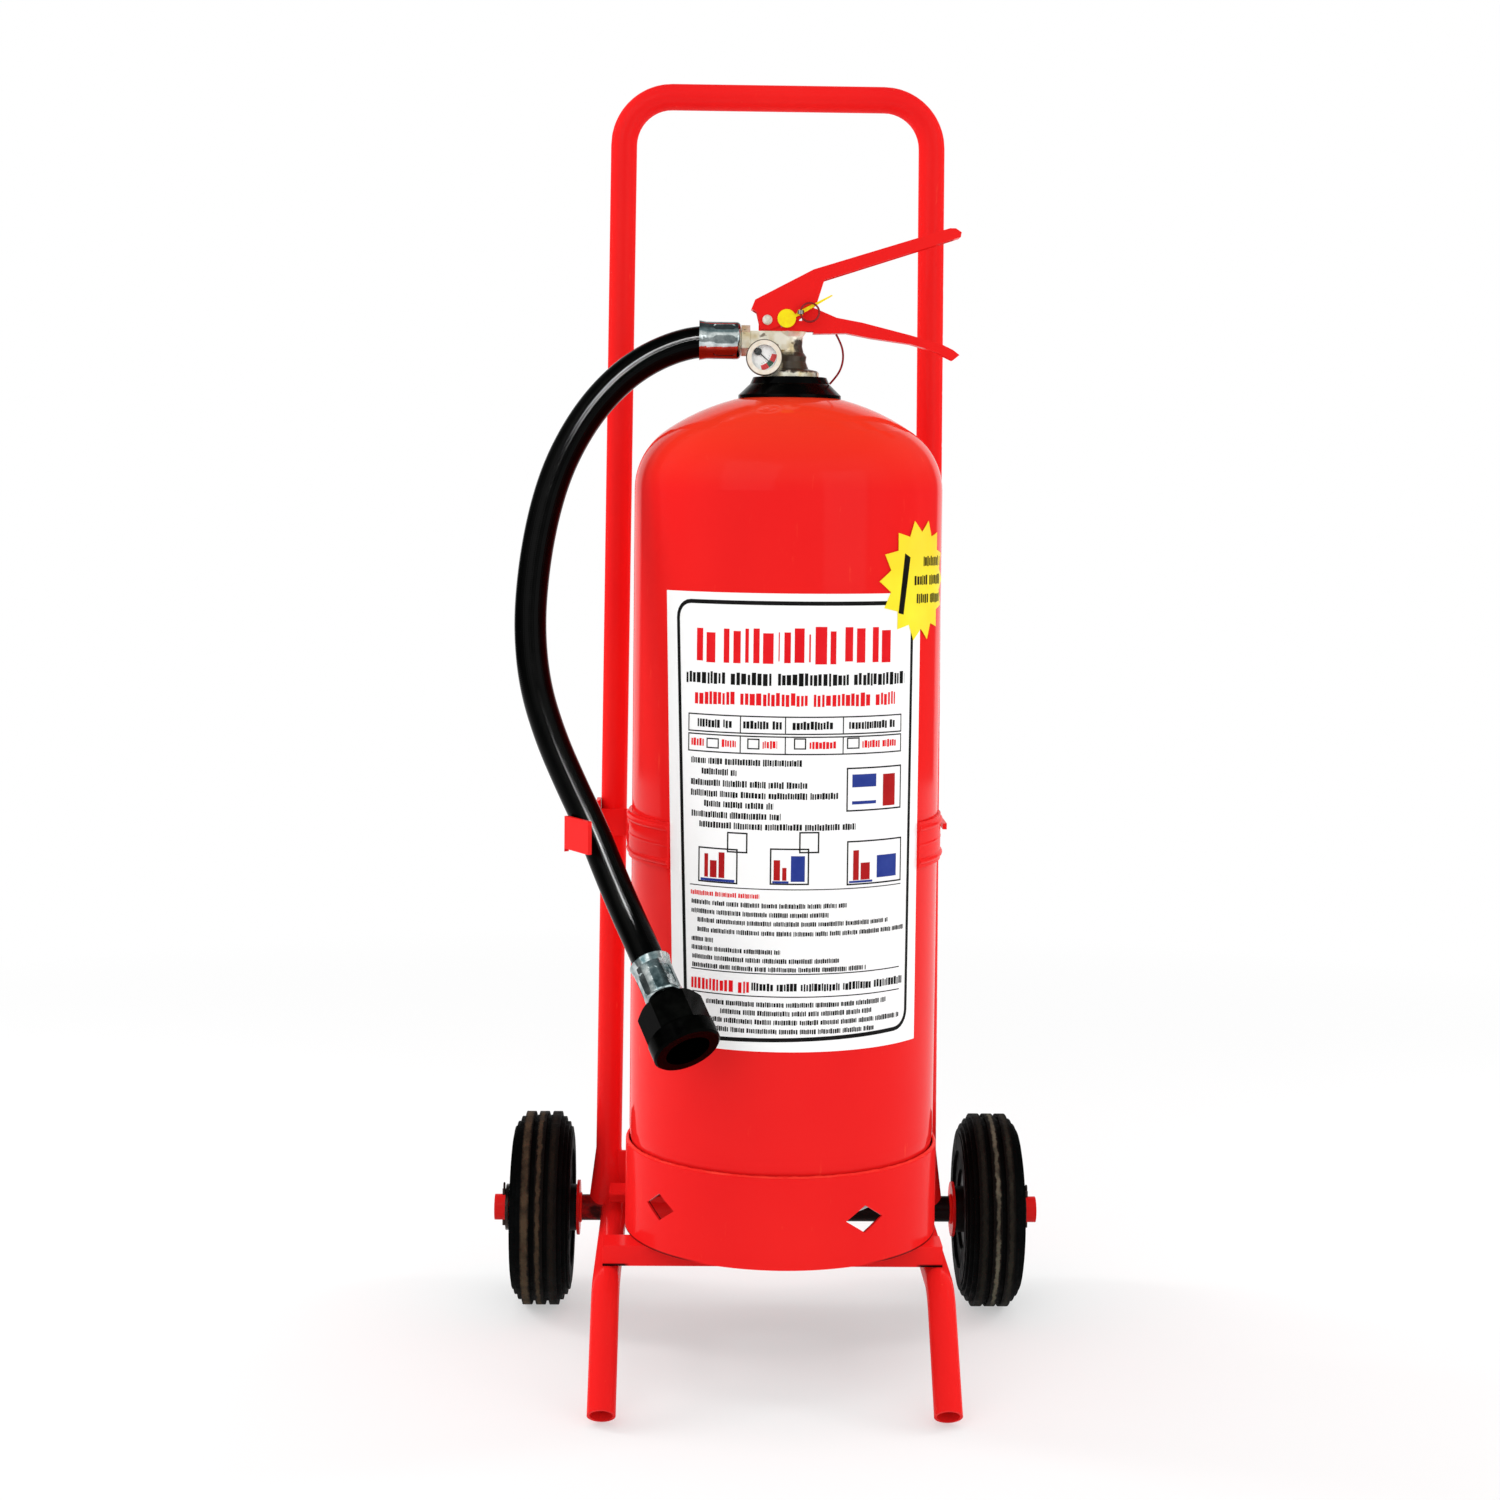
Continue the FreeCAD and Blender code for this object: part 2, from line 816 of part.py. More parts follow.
# Band round the vessel, open at the front where the label is
def band_profile():
    inner = dim.vessel_radius + dim.seat_gap
    outer = inner + dim.band_wall
    bead = dim.band_bead
    curve = bead * 1.07
    top = dim.band_height
    middle = top / 2
    return [
        (inner, 0),
        (outer, 0),
        (outer, bead),
        (outer, 3 * bead, curve),
        (outer, middle - bead / 2),
        (outer, middle + bead / 2, curve),
        (outer, top - 3 * bead),
        (outer, top - bead, curve),
        (outer, top),
        (inner, top),
    ]


band_bottom = dim.band_middle - dim.band_height / 2
band_outer = dim.vessel_radius + dim.seat_gap + dim.band_wall


def make_band():
    body = turned("clamp_band", band_profile())
    bind(body.Tip, "Angle", 360 - dim.band_left_angle - dim.band_right_angle)
    place(body, vessel_x, vessel_y, band_bottom, (0, 0, 1), dim.band_right_angle - 90)


# Bars from the rails to the band, and the hook that steadies the hose
def flat_bar(label, corners, height, rise=0):
    body = new_body(label)
    draw(sketch_on(body, "XY_Plane"), corners)
    extrude(body, "Pad", body.Group[0], height, symmetric=True)
    place(body, 0, 0, dim.bar_middle + rise)


def make_stays():
    wall = dim.stay_wall
    back = axle_y - dim.pipe_radius
    rail = rail_x(dim.bar_middle - dim.arm_height / 2)
    out = -rail - dim.pipe_radius
    turn = dim.pipe_radius - rail
    meet = 40.0
    band_reach = band_outer + dim.band_bead
    left_touch = vessel_x - root(band_reach * band_reach - size(meet * meet))
    flat_bar(
        "left_stay",
        [
            (out, back),
            (out, back - wall),
            (turn, back - wall),
            (left_touch - wall, vessel_y + meet),
            (left_touch, vessel_y + meet),
            (turn + wall, back),
        ],
        dim.left_stay_height,
        -dim.left_stay_drop,
    )
    near = vessel_x + band_reach
    corners = rectangle(near, near + wall, vessel_y, back)
    flat_bar("right_stay", corners, dim.right_stay_height, dim.right_stay_rise)
    side = vessel_x - dim.hook_side
    knee = vessel_y - dim.hook_front
    across = sine(dim.hook_turn)
    forward = cosine(dim.hook_turn)
    tip_x = side + dim.hook_reach * across
    tip_y = knee - dim.hook_reach * forward
    inner_end = (side + wall * forward, knee + wall * across)
    flat_bar(
        "hose_hook",
        [
            (side, knee),
            (tip_x, tip_y),
            (tip_x + wall * forward, tip_y + wall * across),
            inner_end,
        ],
        dim.hook_height,
        dim.hook_rise,
    )
    flat_bar(
        "hook_arm",
        [
            (out - wall, axle_y),
            (out - wall, back - wall),
            (side, vessel_y),
            (side, knee),
            inner_end,
            (side + wall, knee + wall * slope(dim.hook_turn / 2)),
            (side + wall, vessel_y),
            (out, back - wall),
            (out, axle_y),
        ],
        dim.arm_height,
    )


# Stuck-on labels: outlines seen from the side, laid on a shell round the vessel
def paper(label, inner, outline, reach, z, turn):
    outside = primitive("Cylinder", label + "_outside", Radius=inner + dim.label_wall)
    inside = primitive("Cylinder", label + "_inside", Radius=inner)
    for item in (outside, inside):
        bind(item, "Height", 2 * reach)
        place(item, 0, 0, -reach)
    shape = doc.addObject("PartDesign::Body", label + "_shape")
    draw(sketch_on(shape, "YZ_Plane"), outline)
    extrude(shape, "Pad", shape.Group[0], 2 * dim.vessel_radius)
    piece = doc.addObject("Part::Common", label)
    piece.Base = cut(label + "_shell", outside, inside)
    piece.Tool = shape
    keep(piece, label)
    place(piece, vessel_x, vessel_y, z, (0, 0, 1), turn)


def make_labels():
    inner = dim.vessel_radius + dim.label_gap
    outline = [
        (dim.label_taper - dim.label_left, 0),
        (dim.label_right, 0),
        (dim.label_right, dim.label_height),
        (-dim.label_left, dim.label_height),
    ]
    paper("front_label", inner, outline, dim.label_height + 10, dim.label_bottom, size(-90))

    count = int(driving["sticker_points"])
    points = []
    for number in range(2 * count):
        reach = dim.sticker_radius if number % 2 else dim.sticker_inner_radius
        angle = math.radians(180.0 * number / count)
        points.append((reach * -math.sin(angle), reach * math.cos(angle)))
    inner = inner + dim.label_wall + dim.label_gap
    turn = dim.sticker_angle - 90
    paper("burst_sticker", inner, points, dim.sticker_radius + 5, dim.sticker_height, turn)


# Neck: welded boss, gasket and rubber collar
def make_neck():
    top = -dim.gasket_wall
    boss = turned(
        "neck_boss",
        rectangle(dim.boss_bore, dim.boss_radius, top - dim.boss_height, top),
    )
    gasket_outer = dim.flange_radius - 1
    gasket = turned("neck_gasket", rectangle(dim.boss_bore, gasket_outer, top, 0))
    inner = dim.boss_radius + dim.collar_gap
    opening = gasket_outer + dim.collar_gap
    base = dim.collar_base_radius
    crown = dim.crown_radius + dim.collar_gap
    crown_centre = -dim.neck_rise - dim.crown_radius

    def dome(radius):
        return crown_centre + root(crown * crown - size(radius) * radius)

    shoulder = -7.0
    hem = 3.0
    collar = turned(
        "neck_collar",
        [
            (inner, dome(inner)),
            (inner, top + dim.collar_gap),
            (opening, top + dim.collar_gap),
            (opening, -dim.collar_gap),
            (dim.collar_top_radius, -dim.collar_gap),
            (dim.collar_top_radius + hem, shoulder),
            (dim.collar_top_radius + hem + 1, shoulder - 0.8),
            (base, dome(base) + hem),
            (base, dome(base)),
        ][::-1],
    )
    for piece in (boss, gasket, collar):
        place(piece, vessel_x, vessel_y, neck_top)


# Valve body: threaded spigot, flange, barrel, outlet block, fork and gauge boss
outlet_thread = 9.0
gauge_boss_front = 17.0


def make_valve_body():
    body = new_body("valve_body")
    spigot = dim.boss_bore - dim.collar_gap
    low = -30.0
    barrel = dim.barrel_radius
    corners = [
        (0, low),
        (spigot, low),
        (spigot, 0),
        (dim.flange_radius, 0),
        (dim.flange_radius, dim.flange_height - 1.5),
        (dim.flange_radius - 1.5, dim.flange_height),
        (barrel + 5, dim.flange_height + 2),
        (barrel + 2.4, dim.flange_height + 9),
        (barrel + 3, dim.flange_height + 14),
        (barrel, dim.flange_height + 18),
        (barrel - 1.4, dim.flange_height + 24),
        (barrel - 0.6, dim.flange_height + 33),
        (barrel + 2.4, dim.valve_top),
        (0, dim.valve_top),
    ]
    revolve(body, draw(sketch_on(body, "XZ_Plane"), corners))
    block = sketch_on(body, "XZ_Plane")
    block_low = dim.outlet_height - outlet_thread
    draw(block, rectangle(-dim.outlet_reach, 1.5, block_low, dim.valve_top))
    extrude(body, "Pad", block, 2 * dim.block_front, symmetric=True)
    fork = sketch_on(body, "XZ_Plane")
    fork_left = -dim.pivot_side - dim.rivet_radius - 4
    fork_right = dim.stem_radius + dim.stem_clearance + 1.6
    draw(fork, rectangle(fork_left, fork_right, dim.valve_top - 1, dim.fork_top))
    extrude(body, "Pad", fork, dim.fork_width, symmetric=True)
    boss = sketch_on(body, "XZ_Plane", -8)
    draw_circle(boss, dim.barrel_radius + 1, -dim.gauge_side, dim.gauge_height)
    extrude(body, "Pad", boss, gauge_boss_front + 8)

    chamber = draw_circle(sketch_on(body, "XY_Plane", low), dim.chamber_radius)
    extrude(body, "Pocket", chamber, dim.flange_height - low, backward=True)
    passage = draw_circle(sketch_on(body, "XY_Plane", low), dim.seat_radius)
    passage_top = dim.outlet_height + dim.outlet_bore + 1
    extrude(body, "Pocket", passage, passage_top - low, backward=True)
    guide = sketch_on(body, "XY_Plane", low)
    draw_circle(guide, dim.stem_radius + dim.stem_clearance)
    extrude(body, "Pocket", guide, backward=True)
    outlet = draw_circle(sketch_on(body, "YZ_Plane"), dim.outlet_bore, 0, dim.outlet_height)
    extrude(body, "Pocket", outlet)
    thread = sketch_on(body, "YZ_Plane", 14 - dim.outlet_reach)
    draw_circle(thread, outlet_thread, 0, dim.outlet_height)
    extrude(body, "Pocket", thread)
    port = sketch_on(body, "XZ_Plane", gauge_boss_front - 10)
    draw_circle(port, 5 + dim.stem_clearance, -dim.gauge_side, dim.gauge_height)
    extrude(body, "Pocket", port, backward=True)
    pivots = sketch_on(body, "XZ_Plane")
    draw_circle(pivots, dim.rivet_radius, -dim.pivot_side, dim.pivot_height)
    draw_circle(pivots, handle_pin_radius, -handle_pin_side, handle_pin_height)
    extrude(body, "Pocket", pivots, symmetric=True)
    place(body, vessel_x, vessel_y, neck_top)


# Carry handle: fixed channel with its web below the hand
handle_pin_radius = size(2.0)
handle_pin_side = size(8.5)
handle_pin_height = size(50.0)
valve_play = 0.3


def make_carry_handle():
    body = new_body("carry_handle")
    tip = dim.handle_reach - dim.pivot_side
    low = dim.valve_top + valve_play
    web_start = dim.barrel_radius + 9
    under = low - 2.4
    depth = dim.handle_depth
    tip_depth = dim.handle_tip_depth
    top = [
        (tip, 23.2),
        (tip - 6.4, 28.1),
        (tip - 15.9, 32.6),
        (tip - 47.9, 41.7),
        (tip - 95.0, 39.3 + depth),
        (web_start + 22.4, 43.7 + depth),
        (web_start + 2.7, 66.0),
        (web_start - 10.0, 70.0),
        (-dim.pivot_side - 8, 62.0),
    ]
    bottom = [
        (-dim.pivot_side - 8, low),
        (web_start, low),
        (web_start, under),
        (web_start + 32.0, under + 1),
        (tip - 85.5, 38.3),
        (tip - 47.8, 33.2),
        (tip - 25.2, 26.9),
        (tip - 6.3, 27.5 - tip_depth),
    ]
    draw(sketch_on(body, "XZ_Plane"), bottom + top)
    extrude(body, "Pad", body.Group[0], 2 * handle_outer_half, symmetric=True)
    wall = dim.sheet_wall
    hollow = sketch_on(body, "XZ_Plane")
    roof = 90.0
    draw(
        hollow,
        [
            (-dim.pivot_side - 20, low - 10),
            (web_start, low - 10),
            (web_start, under + wall),
            (web_start + 32.0, under + wall + 1),
            (tip - 85.5, 38.3 + wall),
            (tip - 47.8, 33.2 + wall),
            (tip - 25.2, 26.9 + wall * 1.1),
            (tip - 6.3, 27.5 - tip_depth + wall * 1.2),
            (tip + 10, 20.0 - tip_depth + wall),
            (tip + 10, roof),
            (-dim.pivot_side - 20, roof),
        ],
    )
    extrude(body, "Pocket", hollow, 2 * handle_inner_half, symmetric=True)
    holes = sketch_on(body, "XZ_Plane")
    draw_circle(holes, dim.rivet_radius, -dim.pivot_side, dim.pivot_height)
    draw_circle(holes, handle_pin_radius, -handle_pin_side, handle_pin_height)
    extrude(body, "Pocket", holes, symmetric=True)
    extrude(body, "Pocket", draw(sketch_on(body, "XZ_Plane"), pin_slot()), symmetric=True)
    place(body, vessel_x, vessel_y, neck_top)


# The safety pin sits in the lever, so the handle has a slot along its swing.
def pin_slot():
    reach = dim.pin_side + dim.pivot_side
    rise = dim.pin_height - dim.pivot_height
    radius = math.hypot(reach.value, rise.value)
    start = math.degrees(math.atan2(rise.value, reach.value))
    half = driving["pin_radius"] + driving["cheek_gap"]
    margin = math.degrees(half / radius) + 0.5
    first = start + margin
    last = start - driving["lever_travel"] - margin

    def spot(distance, angle):
        turn = math.radians(angle)
        return (
            distance * math.cos(turn) - dim.pivot_side,
            distance * math.sin(turn) + dim.pivot_height,
        )

    far = radius + half
    near = radius - half
    return [
        spot(near, first) + (size(near),),
        spot(far, first),
        spot(far, last) + (size(-far),),
        spot(near, last),
    ]


# Squeeze lever: channel with its web on top, hinged on the pivot rivet
nose_rise = 19.4


def make_squeeze_lever():
    body = new_body("squeeze_lever")
    wall = dim.sheet_wall
    nose = -dim.lever_nose
    brow = nose + 3.6
    head = dim.lever_head_length
    tip = dim.lever_reach
    head_top = size(nose_rise) + (head - brow) * slope(dim.lever_head_slope)
    arm_rise = slope(dim.lever_arm_slope)

    def arm_top(x):
        return head_top + (size(x) - head) * arm_rise

    root_x = head + 10.4
    outline = [
        (nose, 10.4),
        (nose + 5.3, 7.1),
        (nose + 9.1, 0.7 - dim.lever_cheek_drop),
        (nose + 17.5, -dim.lever_cheek_drop),
        (nose + 27.6, 4 - dim.lever_cheek_drop),
        (nose + 46.6, 10.8 - dim.lever_cheek_drop),
        (head + 3.1, 15.2),
        (root_x, arm_top(root_x) - dim.lever_arm_depth),
        (tip - 0.8, arm_top(tip) - dim.lever_tip_depth - 3.3),
        (tip, arm_top(tip) - dim.lever_tip_depth / 2 - 3),
        (tip - 5.6, arm_top(tip - 5.6) - 1.8),
        (tip - 11.3, arm_top(tip - 11.3)),
        (head, head_top),
        (brow, nose_rise),
    ]
    draw(sketch_on(body, "XZ_Plane"), outline)
    extrude(body, "Pad", body.Group[0], 2 * lever_outer_half, symmetric=True)
    hollow = sketch_on(body, "XZ_Plane")
    floor = -40.0
    under_head = wall / cosine(dim.lever_head_slope)
    under_arm = wall / cosine(dim.lever_arm_slope)
    draw(
        hollow,
        [
            (nose + wall, floor),
            (tip - 7, floor),
            (tip - 7, arm_top(tip - 7) - under_arm - 1.2),
            (head, head_top - under_arm),
            (brow + wall, nose_rise + wall * slope(dim.lever_head_slope) - under_head),
            (nose + wall, 10.4),
        ],
    )
    extrude(body, "Pocket", hollow, 2 * lever_inner_half, symmetric=True)
    holes = sketch_on(body, "XZ_Plane")
    draw_circle(holes, dim.rivet_radius + dim.rivet_clearance)
    draw_circle(
        holes,
        dim.pin_radius + dim.pin_clearance,
        dim.pin_side + dim.pivot_side,
        dim.pin_height - dim.pivot_height,
    )
    extrude(body, "Pocket", holes, symmetric=True)
    place(body, vessel_x - dim.pivot_side, vessel_y, neck_top + dim.pivot_height)


def make_rivets():
    head = dim.rivet_head_height
    half = lever_outer_half + dim.stem_clearance
    radius = dim.rivet_radius
    big = dim.rivet_head_radius
    rise = head / 2
    rivet = turned(
        "pivot_rivet",
        [
            (0, -half - head),
            (big - 1.5, -half - head),
            (big, -half - rise),
            (big, -half),
            (radius, -half),
            (radius, half),
            (big, half),
            (big, half + rise),
            (big - 1.5, half + head),
            (0, half + head),
        ],
    )
    spot = neck_top + dim.pivot_height
    place(rivet, vessel_x - dim.pivot_side, vessel_y, spot, (1, 0, 0), 90)
    width = 2 * handle_outer_half
    pin = primitive("Cylinder", "handle_pin", Radius=handle_pin_radius, Height=width)
    keep(pin, "handle_pin")
    place(
        pin,
        vessel_x - handle_pin_side,
        vessel_y + handle_outer_half,
        neck_top + handle_pin_height,
        (1, 0, 0),
        90,
    )


# Stem, its seal, the return spring and the tube adapter under it
stem_collar_low = -4.0
stem_collar_high = 1.5
adapter_top = -22.0


def stem_top_centre():
    rise = slope(dim.lever_head_slope)
    brow = 3.6 - dim.lever_nose
    web_top = dim.pivot_height + nose_rise + (dim.pivot_side - brow) * rise
    gap = dim.stem_radius + dim.cheek_gap + dim.sheet_wall
    return web_top - gap / cosine(dim.lever_head_slope)


def make_stem():
    radius = dim.stem_radius
    top = stem_top_centre()
    low = stem_collar_low
    mid = stem_collar_high
    seal_top = dim.flange_height - 0.3
    foot = 6.6
    corners = [
        (0, low),
        (foot, low),
        (foot, mid),
        (radius, mid),
        (radius, top),
        (0, top + radius, radius),
    ]
    stem = turned("valve_stem", corners)
    seal = turned("stem_seal", rectangle(radius, dim.chamber_radius - 0.6, mid, seal_top))
    adapter = turned(
        "tube_adapter",
        [
            (4, adapter_top - 20),
            (dim.dip_tube_radius - dim.dip_tube_wall, adapter_top - 20),
            (dim.dip_tube_radius - dim.dip_tube_wall, adapter_top - 8),
            (dim.chamber_radius, adapter_top - 8),
            (dim.chamber_radius, adapter_top),
            (4, adapter_top),
        ],
    )
    for piece in (stem, seal, adapter):
        place(piece, vessel_x, vessel_y, neck_top)
    make_spring()


def make_spring():
    wire = 0.8
    radius = 6.0
    seat = 0.2
    height = stem_collar_low - adapter_top - 2 * wire - 2 * seat
    turns = 4.5
    helix = Part.makeHelix(height / turns, height, radius)
    section = Part.makeCircle(wire, FreeCAD.Vector(radius, 0, 0), FreeCAD.Vector(0, 1, 0))
    coil = Part.Wire(helix).makePipeShell([Part.Wire(section)], True, True)
    spring = doc.addObject("Part::Feature", "valve_spring")
    spring.Shape = coil
    keep(spring, "valve_spring")
    place(spring, vessel_x, vessel_y, neck_top + adapter_top + wire + seat)


def make_dip_tube():
    top = neck_top + adapter_top - 8
    bottom = vessel_low - head_height + dim.vessel_wall + dim.strainer_gap
    inner = dim.dip_tube_radius - dim.dip_tube_wall
    tube = turned("dip_tube", rectangle(inner, dim.dip_tube_radius, 0, top - bottom))
    place(tube, vessel_x, vessel_y, bottom)
    fit = dim.dip_tube_radius + dim.stem_clearance
    cap_wall = 1.5
    grip = 14.0
    strainer = turned(
        "dip_strainer",
        [
            (0, -12.0),
            (fit + cap_wall, -12.0),
            (fit + cap_wall, grip),
            (fit, grip),
            (fit, 0),
            (inner, 0),
            (inner, cap_wall - 12.0),
            (0, cap_wall - 12.0),
        ],
    )
    slot = sketch_on(strainer, "XZ_Plane")
    draw(slot, rectangle(-2.0, 2.0, -9.0, -2.0))
    step = extrude(strainer, "Pocket", slot, backward=True)
    polar_copies(strainer, step, 6)
    place(strainer, vessel_x, vessel_y, bottom)


# Pressure gauge, facing forward
dial_back = 6.8
dial_wall = 0.8
lens_back = 10.9
lens_wall = 1.0


def face_forward(piece, x, depth, z):
    spot_x = vessel_x - dim.gauge_side + x
    return place(piece, spot_x, vessel_y - depth, neck_top + dim.gauge_height + z, (1, 0, 0), 90)


def make_gauge():
    radius = dim.gauge_radius
    inner = radius - dim.gauge_wall
    back = dim.gauge_standoff
    neck = gauge_boss_front - back
    seat = lens_back + lens_wall
    case = turned(
        "gauge_case",
        [
            (0, neck - 5),
            (5, neck - 5),
            (5, neck),
            (8, neck),
            (8, 0),
            (radius - 1.5, 0),
            (radius, 1.5),
            (radius, dim.gauge_depth - 0.8),
            (radius - 0.8, dim.gauge_depth),
            (radius - dim.gauge_lip, dim.gauge_depth - 0.4),
            (radius - dim.gauge_lip, seat),
            (inner, seat),
            (inner, 1.2),
            (0, 1.2),
        ],
    )
    snug = inner - 0.15
    dial = turned("gauge_dial", rectangle(0, snug, dial_back, dial_back + dial_wall))
    lens = turned("gauge_lens", rectangle(0, snug, lens_back, seat))
    for piece in (case, dial, lens):
        face_forward(piece, 0, back, 0)

    ring = primitive("Torus", "bourdon_ring", Radius1=9.5, Radius2=1.4, Angle3=270.0)
    place(ring, 0, 0, 4.0)
    foot = primitive("Box", "bourdon_foot", Length=4.0, Width=4.0, Height=3.6)
    place(foot, 7.5, -2.0, 1.2)
    face_forward(keep(join("bourdon_tube", "MultiFuse", ring, foot), "bourdon_tube"), 0, back, 0)

    needle = new_body("gauge_needle")
    hub = draw_circle(sketch_on(needle, "XY_Plane"), dim.needle_hub_radius)
    extrude(needle, "Pad", hub, 1.4)
    pointer = sketch_on(needle, "XY_Plane")
    angle = -41.2
    along = (math.cos(math.radians(angle)), math.sin(math.radians(angle)))
    reach = dim.needle_length
    thick = 0.7
    thin = 0.3
    draw(
        pointer,
        [
            (size(along[1] * thick), size(-along[0] * thick)),
            (reach * along[0] + along[1] * thin, reach * along[1] - along[0] * thin),
            (reach * along[0] - along[1] * thin, reach * along[1] + along[0] * thin),
            (size(-along[1] * thick), size(along[0] * thick)),
        ],
    )
    extrude(needle, "Pad", pointer, 0.8)
    depth = back + dial_back + dial_wall + 0.3
    face_forward(needle, -dim.needle_side, depth, dim.needle_rise)


# Outlet: hexagon nipple, swaged hose ferrules and the foam nozzle
def hexagon(across):
    corner = across / 2 / cosine(30.0)
    return [
        (corner * math.cos(math.radians(60 * n)), corner * math.sin(math.radians(60 * n)))
        for n in range(6)
    ]


def make_ferrule(label):
    wall = dim.ferrule_wall
    outer = dim.ferrule_radius
    length = dim.ferrule_length
    fit = dim.hose_radius + 0.3
    mouth = outer + dim.ferrule_flare
    nose = 4.2
    body = turned(
        label,
        [
            (barb_radius + 0.1, 0),
            (outer - nose, 0),
            (outer, nose, nose),
            (outer, length - 7),
            (mouth, length),
            (mouth - wall, length),
            (fit, length - 18),
            (fit, wall),
            (barb_radius + 0.1, wall),
        ],
    )
    crimp = sketch_on(body, "YZ_Plane", outer - 1)
    half = dim.crimp_width / 2
    middle = dim.crimp_length / 2 + nose + 1
    reach = dim.crimp_length / 2 - half
    draw(
        crimp,
        [
            (-half, middle - reach),
            (0, middle - reach - half, half),
            (half, middle - reach, half),
            (half, middle + reach),
            (0, middle + reach + half, half),
            (-half, middle + reach, half),
        ],
    )
    step = extrude(body, "Pocket", crimp, backward=True)
    polar_copies(body, step, dim.crimp_count)
    return body


barb_radius = dim.hose_bore - 0.2
barb_length = 19.0
nut_length = 8.6
nut_gap = 0.4


def make_outlet():
    body = turned(
        "outlet_nipple",
        [
            (dim.outlet_bore, -13.0),
            (outlet_thread - 0.1, -13.0),
            (outlet_thread - 0.1, 0),
            (barb_radius, 0),
            (barb_radius, nut_length + barb_length),
            (dim.outlet_bore, nut_length + barb_length),
        ],
    )
    nut = sketch_on(body, "XY_Plane", 0.1)
    draw(nut, hexagon(dim.nut_across))
    extrude(body, "Pad", nut, nut_length - 0.1)
    bore = draw_circle(sketch_on(body, "XY_Plane", 0.1), dim.outlet_bore)
    extrude(body, "Pocket", bore, backward=True)
    height = neck_top + dim.outlet_height
    place(body, vessel_x - dim.outlet_reach, vessel_y, height, (0, 1, 0), -90)
    ferrule = make_ferrule("hose_ferrule")
    start = vessel_x - dim.outlet_reach - nut_length - nut_gap
    place(ferrule, start, vessel_y, height, (0, 1, 0), -90)


# Hose route: sideways and forward from the vessel axis, height above the floor
hose_route = [
    (-50, 0, 1004.9),
    (-84, 0, 1004.9),
    (-113, -2, 998),
    (-142, -5, 984),
    (-168, -9, 964),
    (-191, -13, 938),
    (-210, -17, 908),
    (-226, -21, 873),
    (-238, -27, 830),
    (-246, -34, 780),
    (-249, -43, 726),
    (-243, -53, 672),
    (-227, -63, 623),
    (-206, -74, 578),
    (-184, -86, 535),
    (-167, -101, 496),
    (-149.5, -120, 460),
    (-133, -143, 430),
    (-119.5, -166, 404.7),
]
tether_route = [
    (38.4, -8, -6.4),
    (46, -8, 2),
    (50.5, -8, 12),
    (51.5, -8, 22.5),
    (49, -8, 33),
    (44, -8, 41.8),
]


def cord_wire(points, label):
    spots = [FreeCAD.Vector(*point) for point in points]
    edges = []
    radii = []
    before = spots[0]
    for number in range(1, len(spots) - 1):
        inward = (spots[number] - spots[number - 1]).normalize()
        onward = (spots[number + 1] - spots[number]).normalize()
        run = min(
            (spots[number] - spots[number - 1]).Length,
            (spots[number + 1] - spots[number]).Length,
        )
        turn = inward.getAngle(onward)
        setback = 0.45 * run
        radii.append(setback / math.tan(turn / 2))
        first = spots[number] - inward * setback
        last = spots[number] + onward * setback
        bisector = (onward - inward).normalize()
        sagitta = radii[-1] / math.cos(turn / 2) - radii[-1]
        middle = spots[number] + bisector * sagitta
        edges.append(Part.LineSegment(before, first).toShape())
        edges.append(Part.Arc(first, middle, last).toShape())
        before = last
    edges.append(Part.LineSegment(before, spots[-1]).toShape())
    print(label, "radii", " ".join("%.0f" % radius for radius in radii))
    return Part.Wire(edges)


def pipe(wire, radius):
    start = wire.Edges[0]
    way = start.tangentAt(start.FirstParameter)
    section = Part.makeCircle(radius, wire.Vertexes[0].Point, way)
    return wire.makePipeShell([Part.Wire(section)], True, False)


def make_cord(label, points, radius, bore, base):
    wire = cord_wire(points, label)
    solid = pipe(wire, radius)
    area = math.pi * radius * radius
    if bore:
        solid = solid.cut(pipe(wire, bore))
        area = math.pi * (radius * radius - bore * bore)
    print(label, "length %.1f" % wire.Length, "volume share %.4f" % (solid.Volume / area / wire.Length))
    cord = doc.addObject("Part::Feature", label)
    cord.Shape = solid
    keep(cord, label)
    place(cord, vessel_x, vessel_y, base)


def make_cords():
    make_cord("hose", hose_route, driving["hose_radius"], driving["hose_bore"], size(0))
    make_cord("pin_tether", tether_route, 1.0, 0, neck_top)


